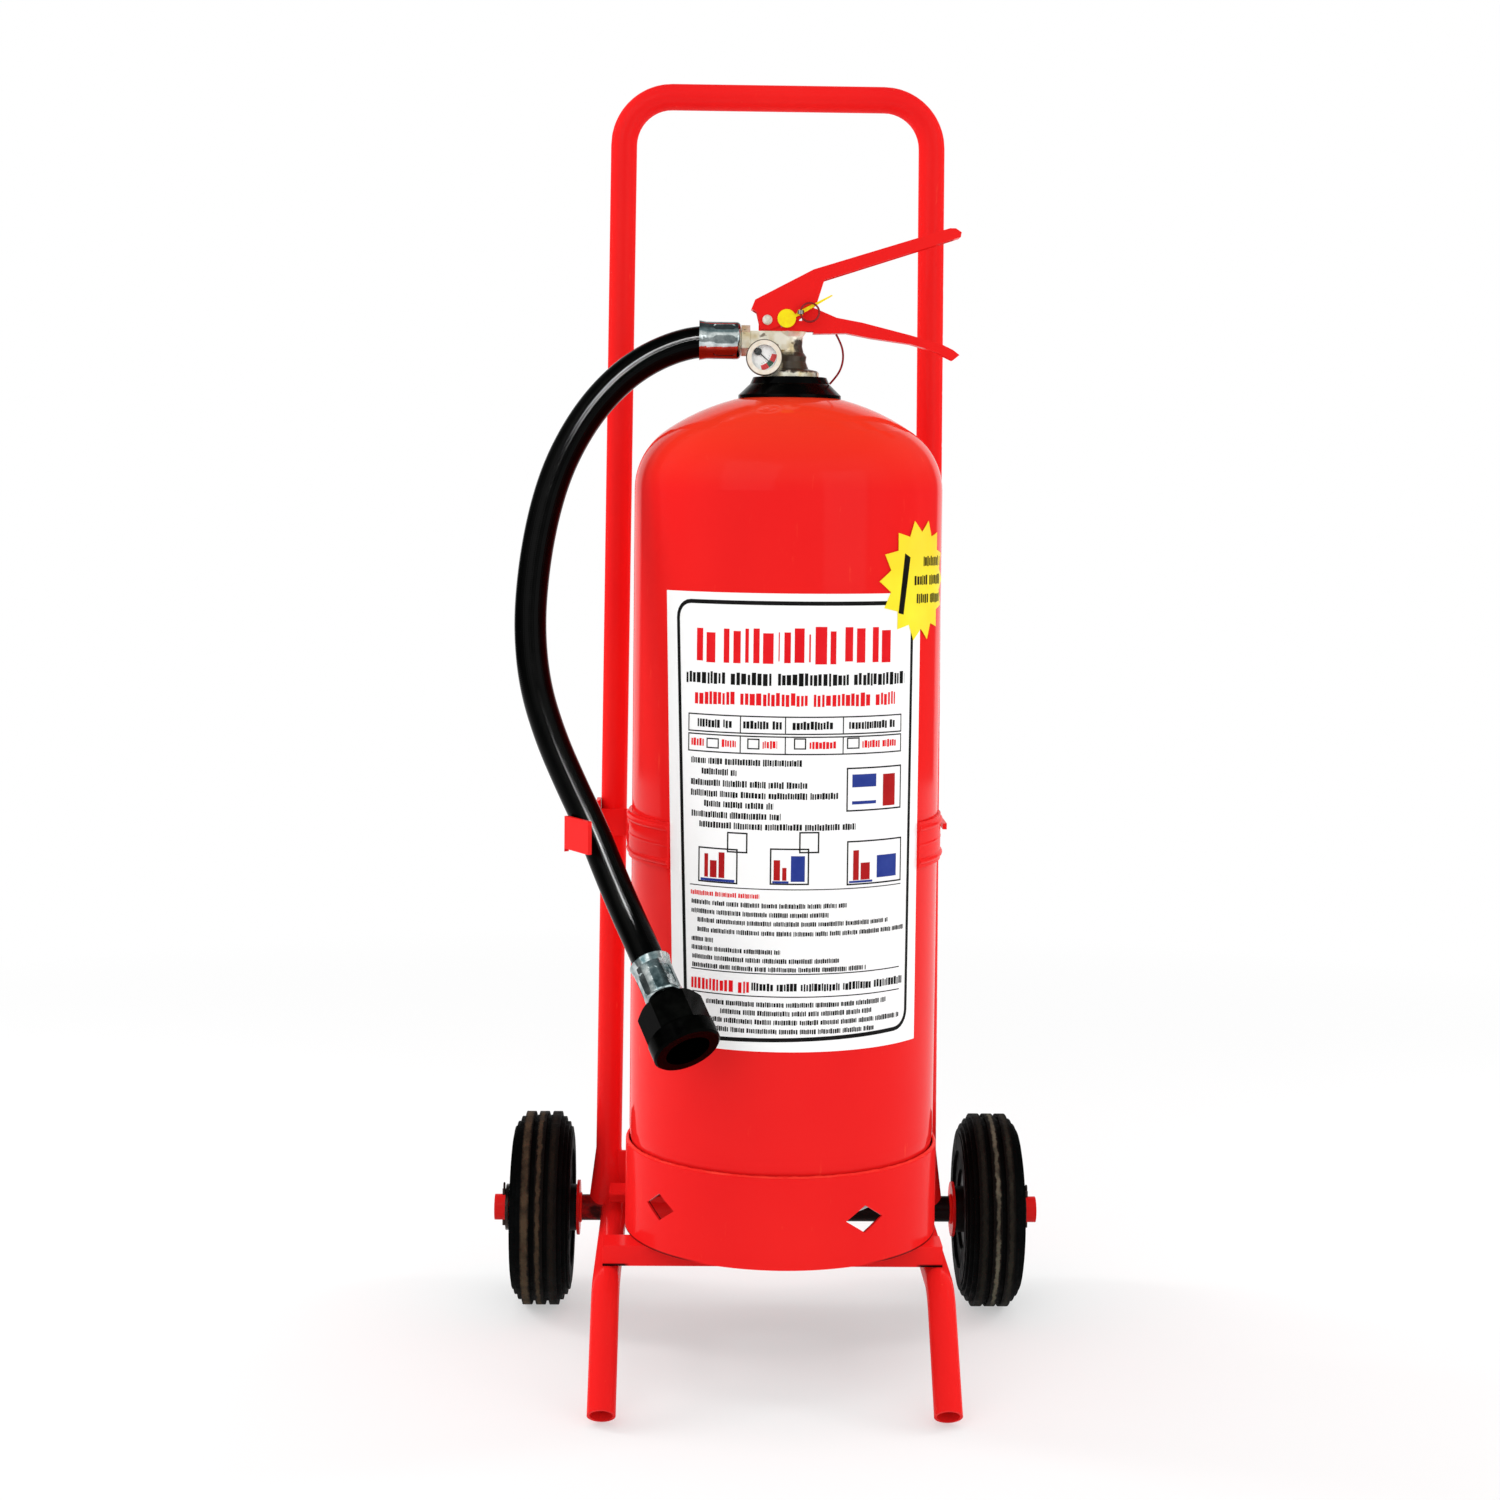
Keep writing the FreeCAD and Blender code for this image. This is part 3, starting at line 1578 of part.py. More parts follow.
def make_nozzle():
    end = FreeCAD.Vector(*hose_route[-1])
    way = (end - FreeCAD.Vector(*hose_route[-2])).normalize()
    grip = 24.8

    def along(piece, distance, backward=False):
        spot = end + way * distance
        aim = way * -1 if backward else way
        turn = FreeCAD.Rotation(FreeCAD.Vector(0, 0, 1), aim)
        place(
            piece,
            vessel_x + spot.x,
            vessel_y + spot.y,
            size(spot.z),
            tuple(turn.Axis),
            math.degrees(turn.Angle),
        )

    foot = driving["ferrule_length"] - grip
    along(make_ferrule("nozzle_ferrule"), foot, backward=True)
    thread = 12.0
    shoulder = 0.2 - foot
    nipple = turned(
        "nozzle_nipple",
        [
            (dim.outlet_bore, shoulder - barb_length),
            (barb_radius, shoulder - barb_length),
            (barb_radius, shoulder),
            (dim.hose_radius, shoulder),
            (dim.hose_radius, -dim.ferrule_wall - 0.1),
            (barb_radius, -dim.ferrule_wall - 0.1),
            (barb_radius, 0.3),
            (thread, 0.3),
            (thread, 18.0),
            (dim.outlet_bore, 18.0),
        ],
    )
    along(nipple, foot)

    body = new_body("nozzle_body")
    length = dim.nozzle_length
    rim = dim.nozzle_rim_radius
    rim_low = length - 17
    hex_low = 5.0
    hexagon_sketch = draw(sketch_on(body, "XY_Plane", hex_low), hexagon(dim.nozzle_hex_across))
    extrude(body, "Pad", hexagon_sketch, rim_low + 4 - hex_low)
    bevel = sketch_on(body, "XZ_Plane")
    draw(bevel, [(20.0, hex_low - 1), (45.0, hex_low - 1), (45.0, hex_low + 13.5)])
    revolve(body, bevel, "Groove")
    skin = sketch_on(body, "XZ_Plane")
    draw(
        skin,
        [
            (0, 0.3),
            (16.0, 0.3),
            (17.5, 2.0),
            (17.5, hex_low + 2),
            (25.0, hex_low + 8),
            (25.0, rim_low - 2),
            (rim - 2, rim_low - 2),
            (rim, rim_low),
            (rim, length - 2),
            (rim - 2, length),
            (0, length),
        ],
    )
    revolve(body, skin)
    inlet = draw_circle(sketch_on(body, "XY_Plane", 0), thread)
    extrude(body, "Pocket", inlet, backward=True)
    mouth = draw_circle(sketch_on(body, "XY_Plane", 30.0), dim.nozzle_bore)
    extrude(body, "Pocket", mouth, backward=True)
    along(body, foot)
    core = turned(
        "nozzle_core",
        [
            (5.0, 30.1),
            (dim.nozzle_bore - 0.1, 30.1),
            (dim.nozzle_bore - 0.1, 33.0),
            (8.0, 33.0),
            (7.0, 44.0),
            (5.0, 44.0),
        ],
    )
    along(core, foot)


# Safety pin with its pull ring and the yellow seal
ring_front = 17.0


def make_safety_pin():
    body = new_body("safety_pin")
    back = lever_outer_half + 2
    shaft = sketch_on(body, "XZ_Plane", -back)
    draw_circle(shaft, dim.pin_radius)
    extrude(body, "Pad", shaft, back + ring_front)
    eye = 3.4
    thick = 3.6
    head = sketch_on(body, "XY_Plane")
    draw_circle(head, eye, 0, -ring_front)
    extrude(body, "Pad", head, thick, symmetric=True)
    hole = sketch_on(body, "XY_Plane")
    draw_circle(hole, dim.ring_wire + 0.6, 0, -ring_front)
    extrude(body, "Pocket", hole, symmetric=True)
    spot_x = vessel_x + dim.pin_side
    spot_z = neck_top + dim.pin_height
    place(body, spot_x, vessel_y, spot_z)

    ring = primitive("Torus", "pull_ring", Radius1=dim.ring_radius, Radius2=dim.ring_wire)
    keep(ring, "pull_ring")
    place(ring, spot_x + dim.ring_radius, vessel_y - ring_front, spot_z, (1, 0, 0), 90)

    seal = new_body("seal_tag")
    face = lever_outer_half + dim.cheek_gap
    wall = 1.3
    disc = sketch_on(seal, "XZ_Plane", face)
    draw_circle(disc, dim.seal_radius, -13.1, -5.7)
    extrude(seal, "Pad", disc, wall)
    strip = sketch_on(seal, "XZ_Plane", face)
    draw(
        strip,
        [
            (-8.0, -4.4),
            (-7.2, -5.8),
            (0.8, -1.8),
            (31.0, 16.4),
            (30.2, 17.4),
            (-0.8, 1.8),
        ],
    )
    extrude(seal, "Pad", strip, wall)
    loop = draw_circle(sketch_on(seal, "XZ_Plane", face), dim.pin_radius + 1.6)
    extrude(seal, "Pad", loop, wall)
    hole = draw_circle(sketch_on(seal, "XZ_Plane", face - 1), dim.pin_radius)
    extrude(seal, "Pocket", hole, backward=True)
    place(seal, spot_x, vessel_y, spot_z)


make_handle_frame()
make_leg("left_leg", -1)
make_leg("right_leg", 1)
make_cross_members()
make_axle()
make_axle_rings()
make_split_pins()
make_wheel("left", -1)
make_wheel("right", 1)
make_vessel()
make_band()
make_stays()
make_labels()
make_neck()
make_valve_body()
make_carry_handle()
make_squeeze_lever()
make_rivets()
make_stem()
make_dip_tube()
make_gauge()
make_outlet()
make_cords()
make_nozzle()
make_safety_pin()

doc.recompute()
for thing in doc.Objects:
    if "Invalid" in thing.State or "Error" in thing.State:
        raise RuntimeError("%s did not build: %s" % (thing.Label, thing.State))
for label, thing in parts.items():
    if thing.Shape.isNull() or not thing.Shape.isValid():
        raise RuntimeError("%s has no valid shape" % label)

os.makedirs("parts", exist_ok=True)
for label, thing in parts.items():
    thing.Shape.exportStep(os.path.join("parts", label + ".step"))
print(len(parts), "nodes written")
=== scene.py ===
import json
import math
import random

import bmesh
import bpy
from mathutils import Matrix, Vector


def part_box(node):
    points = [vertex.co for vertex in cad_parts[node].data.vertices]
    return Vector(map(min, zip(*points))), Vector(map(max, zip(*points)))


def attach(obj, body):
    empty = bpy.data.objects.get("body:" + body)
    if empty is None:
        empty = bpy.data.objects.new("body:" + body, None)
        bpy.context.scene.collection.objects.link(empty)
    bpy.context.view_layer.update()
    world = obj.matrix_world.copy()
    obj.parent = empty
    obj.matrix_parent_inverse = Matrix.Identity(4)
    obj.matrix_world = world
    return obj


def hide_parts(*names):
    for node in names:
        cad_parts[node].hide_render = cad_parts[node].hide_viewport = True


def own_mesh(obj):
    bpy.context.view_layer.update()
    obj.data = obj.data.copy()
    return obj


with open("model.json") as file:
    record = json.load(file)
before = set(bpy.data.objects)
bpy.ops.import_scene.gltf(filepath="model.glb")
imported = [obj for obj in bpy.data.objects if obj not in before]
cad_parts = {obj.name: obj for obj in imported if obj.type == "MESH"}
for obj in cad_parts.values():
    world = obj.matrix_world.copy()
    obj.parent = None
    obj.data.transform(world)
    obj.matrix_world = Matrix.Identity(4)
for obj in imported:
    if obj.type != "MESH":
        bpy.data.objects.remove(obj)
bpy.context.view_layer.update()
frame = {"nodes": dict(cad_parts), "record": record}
nodes = frame["nodes"]
scene = bpy.context.scene


# Shared places, in metres, read from the CAD
def centreOf(node):
    low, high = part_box(node)
    return (low + high) / 2


def srgb(red, green, blue):
    linear = []
    for value in (red, green, blue):
        share = value / 255
        linear.append(share / 12.92 if share < 0.04045 else ((share + 0.055) / 1.055) ** 2.4)
    return (*linear, 1)


vesselAxis = centreOf("vessel")
axleAxis = centreOf("axle_tube")
gaugeCentre = centreOf("gauge_case")
white = (1, 1, 1, 1)
print("stage: frame loaded")


# Camera, where the photograph was taken from
cameraValues = {
    "lens": 59.88,
    "place": (-0.0803, -2.4708, 0.8618),
    "yaw": 1.255,
    "pitch": 3.589,
    "roll": 0.642,
    "shiftY": -0.07,
}


def makeCamera():
    values = cameraValues
    data = bpy.data.cameras.new("photoCamera")
    data.lens = values["lens"]
    data.shift_y = values["shiftY"]
    camera = bpy.data.objects.new("photoCamera", data)
    scene.collection.objects.link(camera)
    turn = Matrix.Rotation(-math.radians(values["yaw"]), 4, "Z")
    turn @= Matrix.Rotation(math.radians(90 - values["pitch"]), 4, "X")
    turn @= Matrix.Rotation(math.radians(values["roll"]), 4, "Z")
    camera.matrix_world = Matrix.Translation(values["place"]) @ turn
    scene.camera = camera


makeCamera()
print("stage: camera")


# Shader helpers
class Shading:
    def __init__(self, tree):
        self.tree = tree

    def put(self, socket, value):
        if isinstance(value, bpy.types.NodeSocket):
            self.tree.links.new(value, socket)
        else:
            socket.default_value = value

    def add(self, kind, inputs, **settings):
        node = self.tree.nodes.new("ShaderNode" + kind)
        for key, value in settings.items():
            setattr(node, key, value)
        for key, value in inputs.items():
            self.put(node.inputs[key], value)
        return node

    def math(self, operation, *values, clamp=False):
        inputs = dict(enumerate(values))
        return self.add("Math", inputs, operation=operation, use_clamp=clamp).outputs[0]

    def span(self, value, low, high, start=0.0, end=1.0):
        inputs = {0: value, 1: low, 2: high, 3: start, 4: end}
        return self.add("MapRange", inputs).outputs[0]

    def both(self, first, second):
        return self.math("MULTIPLY", first, second)

    def mix(self, share, first, second):
        inputs = {0: share, 6: first, 7: second}
        return self.add("Mix", inputs, data_type="RGBA").outputs[2]

    def noise(self, vector, scale, detail=2.0, roughness=0.5):
        inputs = {"Vector": vector, "Scale": scale, "Detail": detail, "Roughness": roughness}
        return self.add("TexNoise", inputs).outputs[0]

    # An offset that makes an edge ragged, up to half of size either way
    def ragged(self, vector, scale, detail, size):
        field = self.noise(vector, scale, detail, 0.6)
        return self.math("MULTIPLY_ADD", field, size, -size / 2)

    def bump(self, height, distance):
        inputs = {"Height": height, "Distance": distance, "Strength": 1.0}
        return self.add("Bump", inputs).outputs[0]

    def place(self):
        return self.add("TexCoord", {}).outputs["Object"]

    def split(self, vector):
        return self.add("SeparateXYZ", {0: vector}).outputs

    # Distance from a middle, out of the two ways away from it
    def reach(self, across, up):
        square = self.math("MULTIPLY", across, across)
        return self.math("SQRT", self.math("MULTIPLY_ADD", up, up, square))

    def shared(self, group, inputs):
        node = self.tree.nodes.new("ShaderNodeGroup")
        node.node_tree = group
        for key, value in inputs.items():
            self.put(node.inputs[key], value)
        return node.outputs

    def uneven(self, place, scale):
        return self.shared(unevenness, {"Vector": place, "Scale": scale})[0]


def newGroup(name, inputs, outputs):
    group = bpy.data.node_groups.new(name, "ShaderNodeTree")
    for label, kind in inputs.items():
        group.interface.new_socket(label, in_out="INPUT", socket_type="NodeSocket" + kind)
    for label, kind in outputs.items():
        group.interface.new_socket(label, in_out="OUTPUT", socket_type="NodeSocket" + kind)
    shading = Shading(group)
    start = group.nodes.new("NodeGroupInput")
    end = group.nodes.new("NodeGroupOutput")
    return group, shading, start.outputs, end.inputs


# Shared effects
wearValues = {
    # noise: scale, detail and roughness
    "specks": (420, 1, 0.4),
    "scuffs": (130, 3, 0.7),
    "field": (9, 2, 0.6),
    # scuffs run up and down
    "scuffStretch": (1, 1, 0.16),
    # where each mask starts and is full
    "unevenRise": (0.32, 0.68),
    "speckRise": (0.72, 0.76),
    "speckField": (0.5, 0.62),
    "scuffRise": (0.66, 0.74),
    "scuffField": (0.42, 0.6),
    # noise whose scale is given by the user: detail and roughness
    "uneven": (3, 0.55),
    "peel": (1, 0.4),
    # slow waves under the fine orange peel: scale and height
    "waveScale": 14,
    "waveHeight": 3.0,
}


def makeUnevenness():
    group, shading, start, end = newGroup(
        "unevenness", {"Vector": "Vector", "Scale": "Float"}, {"Mask": "Float"}
    )
    coarse = shading.noise(start["Vector"], start["Scale"], *wearValues["uneven"])
    shading.put(end["Mask"], shading.span(coarse, *wearValues["unevenRise"]))
    return group


def makePaintWear():
    values = wearValues
    group, shading, start, end = newGroup(
        "paintWear", {"Vector": "Vector"}, {"Specks": "Float", "Scuffs": "Float"}
    )
    vector = start["Vector"]
    field = shading.noise(vector, *values["field"])
    specks = shading.span(shading.noise(vector, *values["specks"]), *values["speckRise"])
    speckField = shading.span(field, *values["speckField"])
    shading.put(end["Specks"], shading.both(specks, speckField))
    mapping = {"Vector": vector, "Scale": values["scuffStretch"]}
    stretched = shading.add("Mapping", mapping).outputs[0]
    scuffs = shading.span(shading.noise(stretched, *values["scuffs"]), *values["scuffRise"])
    scuffField = shading.span(field, *values["scuffField"])
    shading.put(end["Scuffs"], shading.both(scuffs, scuffField))
    return group


def makeOrangePeel():
    values = wearValues
    group, shading, start, end = newGroup(
        "orangePeel", {"Vector": "Vector", "Scale": "Float"}, {"Height": "Float"}
    )
    fine = shading.noise(start["Vector"], start["Scale"], *values["peel"])
    slow = shading.noise(start["Vector"], values["waveScale"], *values["peel"])
    waves = shading.math("MULTIPLY", slow, values["waveHeight"])
    shading.put(end["Height"], shading.math("ADD", fine, waves))
    return group


unevenness = makeUnevenness()
paintWear = makePaintWear()
orangePeel = makeOrangePeel()


# Materials
socketNames = {
    "coat": "Coat Weight",
    "coatRoughness": "Coat Roughness",
    "coatBend": "Coat IOR",
    "shine": "Specular IOR Level",
    "metal": "Metallic",
    "bend": "IOR",
    "clear": "Transmission Weight",
}


def newMaterial(name, color, roughness, bump=None, **sockets):
    material = bpy.data.materials.new(name)
    material.use_nodes = True
    shading = Shading(material.node_tree)
    shader = material.node_tree.nodes["Principled BSDF"]
    for key, value in sockets.items():
        shader.inputs[socketNames[key]].default_value = value
    shading.put(shader.inputs["Base Color"], color(shading))
    shading.put(shader.inputs["Roughness"], roughness(shading))
    if bump is not None:
        shading.put(shader.inputs["Normal"], bump(shading))
    return material


paintValues = {
    "base": srgb(236, 35, 33),
    "deep": srgb(232, 30, 31),
    "light": srgb(241, 62, 46),
    "unevenScale": 5.0,
    # the vessel's dome has a painted warm light: height where that starts and is full, and how
    # much
    "dome": srgb(232, 65, 33),
    "domeUp": (0.86, 0.945),
    "domeShare": 0.75,
    # painted black shadow: on the vessel inside the skirt, and on the skirt's inner wall
    "insideShadow": srgb(8, 7, 7),
    "vesselShadowUp": (0.2195, 0.2185),
    "wallShadowUp": (0.1345, 0.1355),
    "wallShadowOut": (0.1513, 0.1508),
    # painted shade where the skirt stands on the cross angles: height, radius and way from the
    # middle
    "contactShade": srgb(92, 14, 12),
    "contactShadeUp": (0.1354, 0.1341),
    "contactShadeOut": (0.151, 0.153),
    "contactShadeAcross": (0.075, 0.1),
    # painted shade under the ends of the front angle
    "paintedShade": srgb(24, 8, 8),
    "angleUp": (0.1165, 0.1150),
    "angleAcross": (0.138, 0.143),
    # painted shade on the axle: patches beside the wheels, and all over its front on the right
    "axleStart": (0.160, 0.176),
    "axleEnd": 0.2,
    "axleNoise": (60, 3, 0.6),
    "axlePatches": (0.3, 0.6, 0.35, 0.95),
    "axleFront": (0.139, 0.135),
    "axleRight": (0.03, 0.045),
}


def paintColor(shading):
    place = shading.place()
    wear = shading.shared(paintWear, {"Vector": place})
    uneven = shading.uneven(place, paintValues["unevenScale"])
    color = shading.mix(uneven, paintValues["deep"], paintValues["base"])
    return shading.mix(wear["Scuffs"], color, paintValues["light"])


def vesselColor(shading):
    up = shading.split(shading.place())[2]
    # the dome's top is tinted warmer: painted warm light
    warm = shading.span(up, *paintValues["domeUp"], 0, paintValues["domeShare"])
    color = shading.mix(warm, paintColor(shading), paintValues["dome"])
    # below the skirt's top the vessel is painted black: painted shadow inside the skirt
    return shading.mix(shading.span(up, *paintValues["vesselShadowUp"]), color, paintValues["insideShadow"])


def angleColor(shading):
    parts = shading.split(shading.place())
    # the front angle is darker at its lower edge near its ends: painted shade
    low = shading.span(parts[2], *paintValues["angleUp"])
    side = shading.span(shading.math("ABSOLUTE", parts[0]), *paintValues["angleAcross"])
    return shading.mix(shading.both(low, side), paintColor(shading), paintValues["paintedShade"])


def axleColor(shading):
    values = paintValues
    place = shading.place()
    parts = shading.split(place)
    across = shading.math("ABSOLUTE", parts[0])
    inner = shading.math("LESS_THAN", across, values["axleEnd"])
    # beside the wheels, and on the front of the right half, the axle is darkened: painted shade
    side = shading.both(shading.span(across, *values["axleStart"]), inner)
    patches = shading.span(shading.noise(place, *values["axleNoise"]), *values["axlePatches"])
    front = shading.span(parts[1], *values["axleFront"])
    front = shading.both(front, shading.span(parts[0], *values["axleRight"]))
    axleShaded = shading.math("MAXIMUM", shading.both(side, patches), shading.both(front, inner))
    return shading.mix(axleShaded, paintColor(shading), values["paintedShade"])


def skirtColor(shading):
    values = paintValues
    parts = shading.split(shading.place())
    across = shading.math("SUBTRACT", parts[0], vesselAxis.x)
    forward = shading.math("SUBTRACT", parts[1], vesselAxis.y)
    reach = shading.reach(across, forward)
    # a dark band at the skirt's foot, beside the cross angles: painted contact shadow
    low = shading.span(parts[2], *values["contactShadeUp"])
    contactShaded = shading.both(low, shading.span(reach, *values["contactShadeOut"]))
    side = shading.span(shading.math("ABSOLUTE", across), *values["contactShadeAcross"])
    color = shading.mix(shading.both(contactShaded, side), paintColor(shading), values["contactShade"])
    # the skirt's inner wall is painted black higher up: painted shadow inside the skirt
    high = shading.span(parts[2], *values["wallShadowUp"])
    shadowedWall = shading.both(high, shading.span(reach, *values["wallShadowOut"]))
    return shading.mix(shadowedWall, color, values["insideShadow"])


def paintBump(scale, distance):
    def build(shading):
        place = shading.place()
        peel = shading.shared(orangePeel, {"Vector": place, "Scale": scale})[0]
        wear = shading.shared(paintWear, {"Vector": place})
        height = shading.math("SUBTRACT", peel, wear["Specks"])
        return shading.bump(height, distance)

    return build


# What the plain finishes are made of. Scales are of the noise, so larger is finer, and
# distances are in metres
def roughBetween(scale, low, high):
    def build(shading):
        return shading.span(shading.uneven(shading.place(), scale), 0, 1, low, high)

    return build


def mottled(first, second, scale):
    def build(shading):
        return shading.mix(shading.uneven(shading.place(), scale), first, second)

    return build


def grainBump(scale, distance, detail=2.0):
    def build(shading):
        return shading.bump(shading.noise(shading.place(), scale, detail), distance)

    return build


def newPaint(name, color):
    return newMaterial(
        name,
        color,
        roughBetween(30.0, 0.3, 0.44),
        paintBump(520.0, 0.00004),
        shine=0.0,
        coat=0.45,
        coatRoughness=0.14,
        coatBend=1.2,
    )


finishes = {}
finishes["red_paint"] = newPaint("framePaint", paintColor)
skirtPaint = newPaint("skirtPaint", skirtColor)
anglePaint = newPaint("anglePaint", angleColor)
axlePaint = newPaint("axlePaint", axleColor)
# the weld beads are painted a little lighter than the frame: painted highlight on their edges
beadPaint = newMaterial(
    "beadPaint",
    mottled(srgb(246, 60, 48), srgb(238, 40, 36), 60.0),
    roughBetween(90.0, 0.25, 0.4),
    grainBump(300.0, 0.0001),
    shine=0.0,
    coat=0.4,
    coatRoughness=0.15,
    coatBend=1.2,
)
finishes["vessel_paint"] = newMaterial(
    "vesselPaint",
    vesselColor,
    roughBetween(12.0, 0.12, 0.2),
    paintBump(260.0, 0.00002),
    shine=0.0,
    coat=0.8,
    coatRoughness=0.08,
    coatBend=1.17,
)


# Tyre rubber: worn, dusty ribs and dark grooves, told apart by the distance from the axle
tyreValues = {
    "groove": srgb(2, 3, 3),
    "rib": srgb(12, 10, 8),
    "leftDust": srgb(78, 66, 50),
    "rightDust": srgb(98, 97, 82),
    # radii where the ribs start and are full
    "ribOut": (0.0955, 0.0985),
    # ragged edges of the streaks: scale, detail and size
    "ragged": (140, 3, 0.005),
    # patches in them
    "patchNoise": (45, 4, 0.65),
    "patchRise": (0.3, 0.62, 0.25, 1.0),
    # dusty streaks: place along the axle, half width and strength, full in their core
    "core": 0.45,
    "streaks": [
        (-0.2498, 0.0046, 0.9),
        (-0.2362, 0.0028, 0.75),
        (-0.2222, 0.003, 0.1),
        (0.2362, 0.0026, 1.0),
        (0.2222, 0.003, 0.08),
        (0.2498, 0.003, 0.16),
    ],
}


def tyreColor(shading):
    values = tyreValues
    place = shading.place()
    parts = shading.split(place)
    forward = shading.math("SUBTRACT", parts[1], axleAxis.y)
    up = shading.math("SUBTRACT", parts[2], axleAxis.z)
    ribs = shading.span(shading.reach(forward, up), *values["ribOut"])
    across = shading.math("ADD", parts[0], shading.ragged(place, *values["ragged"]))
    worn = 0.0
    for middle, half, strength in values["streaks"]:
        away = shading.math("ABSOLUTE", shading.math("SUBTRACT", across, middle))
        streak = shading.span(away, half, half * values["core"], 0, strength)
        worn = shading.math("ADD", worn, streak)
    patches = shading.span(shading.noise(place, *values["patchNoise"]), *values["patchRise"])
    worn = shading.both(worn, shading.both(ribs, patches))
    color = shading.mix(ribs, values["groove"], values["rib"])
    right = shading.span(parts[0], -0.01, 0.01)
    return shading.mix(worn, color, shading.mix(right, values["leftDust"], values["rightDust"]))


finishes["tyre_rubber"] = newMaterial(
    "tyreRubber",
    tyreColor,
    roughBetween(90.0, 0.6, 0.85),
    grainBump(420.0, 0.0008, 4.0),
    shine=0.06,
)
finishes["hub_plastic"] = newMaterial(
    "hubPlastic",
    mottled(srgb(5, 5, 5), srgb(14, 13, 13), 40.0),
    roughBetween(60.0, 0.35, 0.55),
    grainBump(900.0, 0.0001),
    shine=0.15,
)
finishes["bush_steel"] = newMaterial(
    "bushSteel",
    mottled(srgb(150, 148, 144), srgb(188, 186, 182), 120.0),
    roughBetween(200.0, 0.25, 0.4),
    grainBump(1500.0, 0.00003),
    metal=1.0,
)
finishes["zinc_steel"] = newMaterial(
    "zincSteel",
    mottled(srgb(138, 134, 128), srgb(205, 201, 194), 160.0),
    roughBetween(220.0, 0.2, 0.42),
    grainBump(1200.0, 0.00004),
    metal=1.0,
)


# Valve casting: pale and rubbed, with painted shade round the waist above its flange
valveValues = {
    "rubbed": srgb(255, 250, 232),
    "cast": srgb(222, 204, 160),
    "castScale": 70,
    "castRise": (0.42, 0.62),
    # dark lines where the noise is low: painted shade in the casting's grain
    "grainShade": srgb(92, 70, 44),
    "grainShadeScale": 130,
    "grainShadeRise": (0.37, 0.3, 0, 0.8),
    # painted shade: heights and sides where it starts and is full, at the waist and above it on
    # the right, with a ragged edge (scale, detail and size)
    "valveShade": srgb(44, 28, 18),
    "valveShadeShare": 0.95,
    "ragged": (160, 2, 0.008),
    "waistShadeSide": (-0.003, 0.001),
    "waistShadeLow": (0.9735, 0.9755),
    "waistShadeHigh": (0.9965, 0.9915),
    "upperShadeSide": (0.0105, 0.013),
    "upperShadeHigh": (1.0075, 1.0045),
}


def brassColor(shading):
    values = valveValues
    place = shading.place()
    ragged = shading.ragged(place, *values["ragged"])
    parts = shading.split(place)
    across = shading.math("ADD", parts[0], ragged)
    up = shading.math("ADD", parts[2], ragged)
    cast = shading.span(shading.noise(place, values["castScale"]), *values["castRise"])
    color = shading.mix(cast, values["rubbed"], values["cast"])
    # dark lines of painted shade in the casting's grain
    grainShades = shading.span(shading.noise(place, values["grainShadeScale"]), *values["grainShadeRise"])
    color = shading.mix(grainShades, color, values["grainShade"])
    # the waist, and the body above it on the right, are darkened: painted shade
    low = shading.span(up, *values["waistShadeLow"])
    waistShaded = shading.both(low, shading.span(up, *values["waistShadeHigh"]))
    waistShaded = shading.both(waistShaded, shading.span(across, *values["waistShadeSide"]))
    side = shading.both(low, shading.span(up, *values["upperShadeHigh"]))
    side = shading.both(side, shading.span(across, *values["upperShadeSide"]))
    valveShaded = shading.both(shading.math("MAXIMUM", waistShaded, side), values["valveShadeShare"])
    return shading.mix(valveShaded, color, values["valveShade"])


finishes["valve_brass"] = newMaterial(
    "castValve",
    brassColor,
    roughBetween(120.0, 0.28, 0.4),
    grainBump(70.0, 0.0005, 1.0),
    metal=0.45,
)


# Gauge case: pale nickel with a dark outer edge
gaugeValues = {
    "bright": srgb(255, 252, 240),
    "dull": srgb(240, 230, 206),
    "unevenScale": 130.0,
    "rim": srgb(62, 46, 32),
    "rimOut": (0.0162, 0.0169),
}


def gaugeColor(shading):
    place = shading.place()
    parts = shading.split(place)
    across = shading.math("SUBTRACT", parts[0], gaugeCentre.x)
    up = shading.math("SUBTRACT", parts[2], gaugeCentre.z)
    uneven = shading.uneven(place, gaugeValues["unevenScale"])
    color = shading.mix(uneven, gaugeValues["bright"], gaugeValues["dull"])
    rim = shading.span(shading.reach(across, up), *gaugeValues["rimOut"])
    return shading.mix(rim, color, gaugeValues["rim"])


nickelRing = newMaterial(
    "nickelRing",
    gaugeColor,
    roughBetween(160.0, 0.28, 0.4),
    grainBump(120.0, 0.00008),
    metal=0.3,
)
darkSteel = newMaterial(
    "darkSteel",
    mottled(srgb(30, 20, 18), srgb(62, 48, 44), 240.0),
    roughBetween(260.0, 0.25, 0.42),
    grainBump(900.0, 0.00004),
    metal=0.8,
)
ringSteel = newMaterial(
    "ringSteel",
    mottled(srgb(126, 14, 16), srgb(150, 24, 24), 300.0),
    roughBetween(260.0, 0.25, 0.4),
    grainBump(900.0, 0.00004),
    metal=0.3,
)
rivetSteel = newMaterial(
    "rivetSteel",
    mottled(srgb(255, 250, 238), srgb(214, 204, 184), 200.0),
    roughBetween(260.0, 0.3, 0.5),
    grainBump(200.0, 0.0004),
    metal=0.5,
)
finishes["bronze_tube"] = newMaterial(
    "bronzeTube",
    mottled(srgb(150, 104, 62), srgb(186, 140, 92), 260.0),
    roughBetween(300.0, 0.22, 0.4),
    metal=1.0,
)


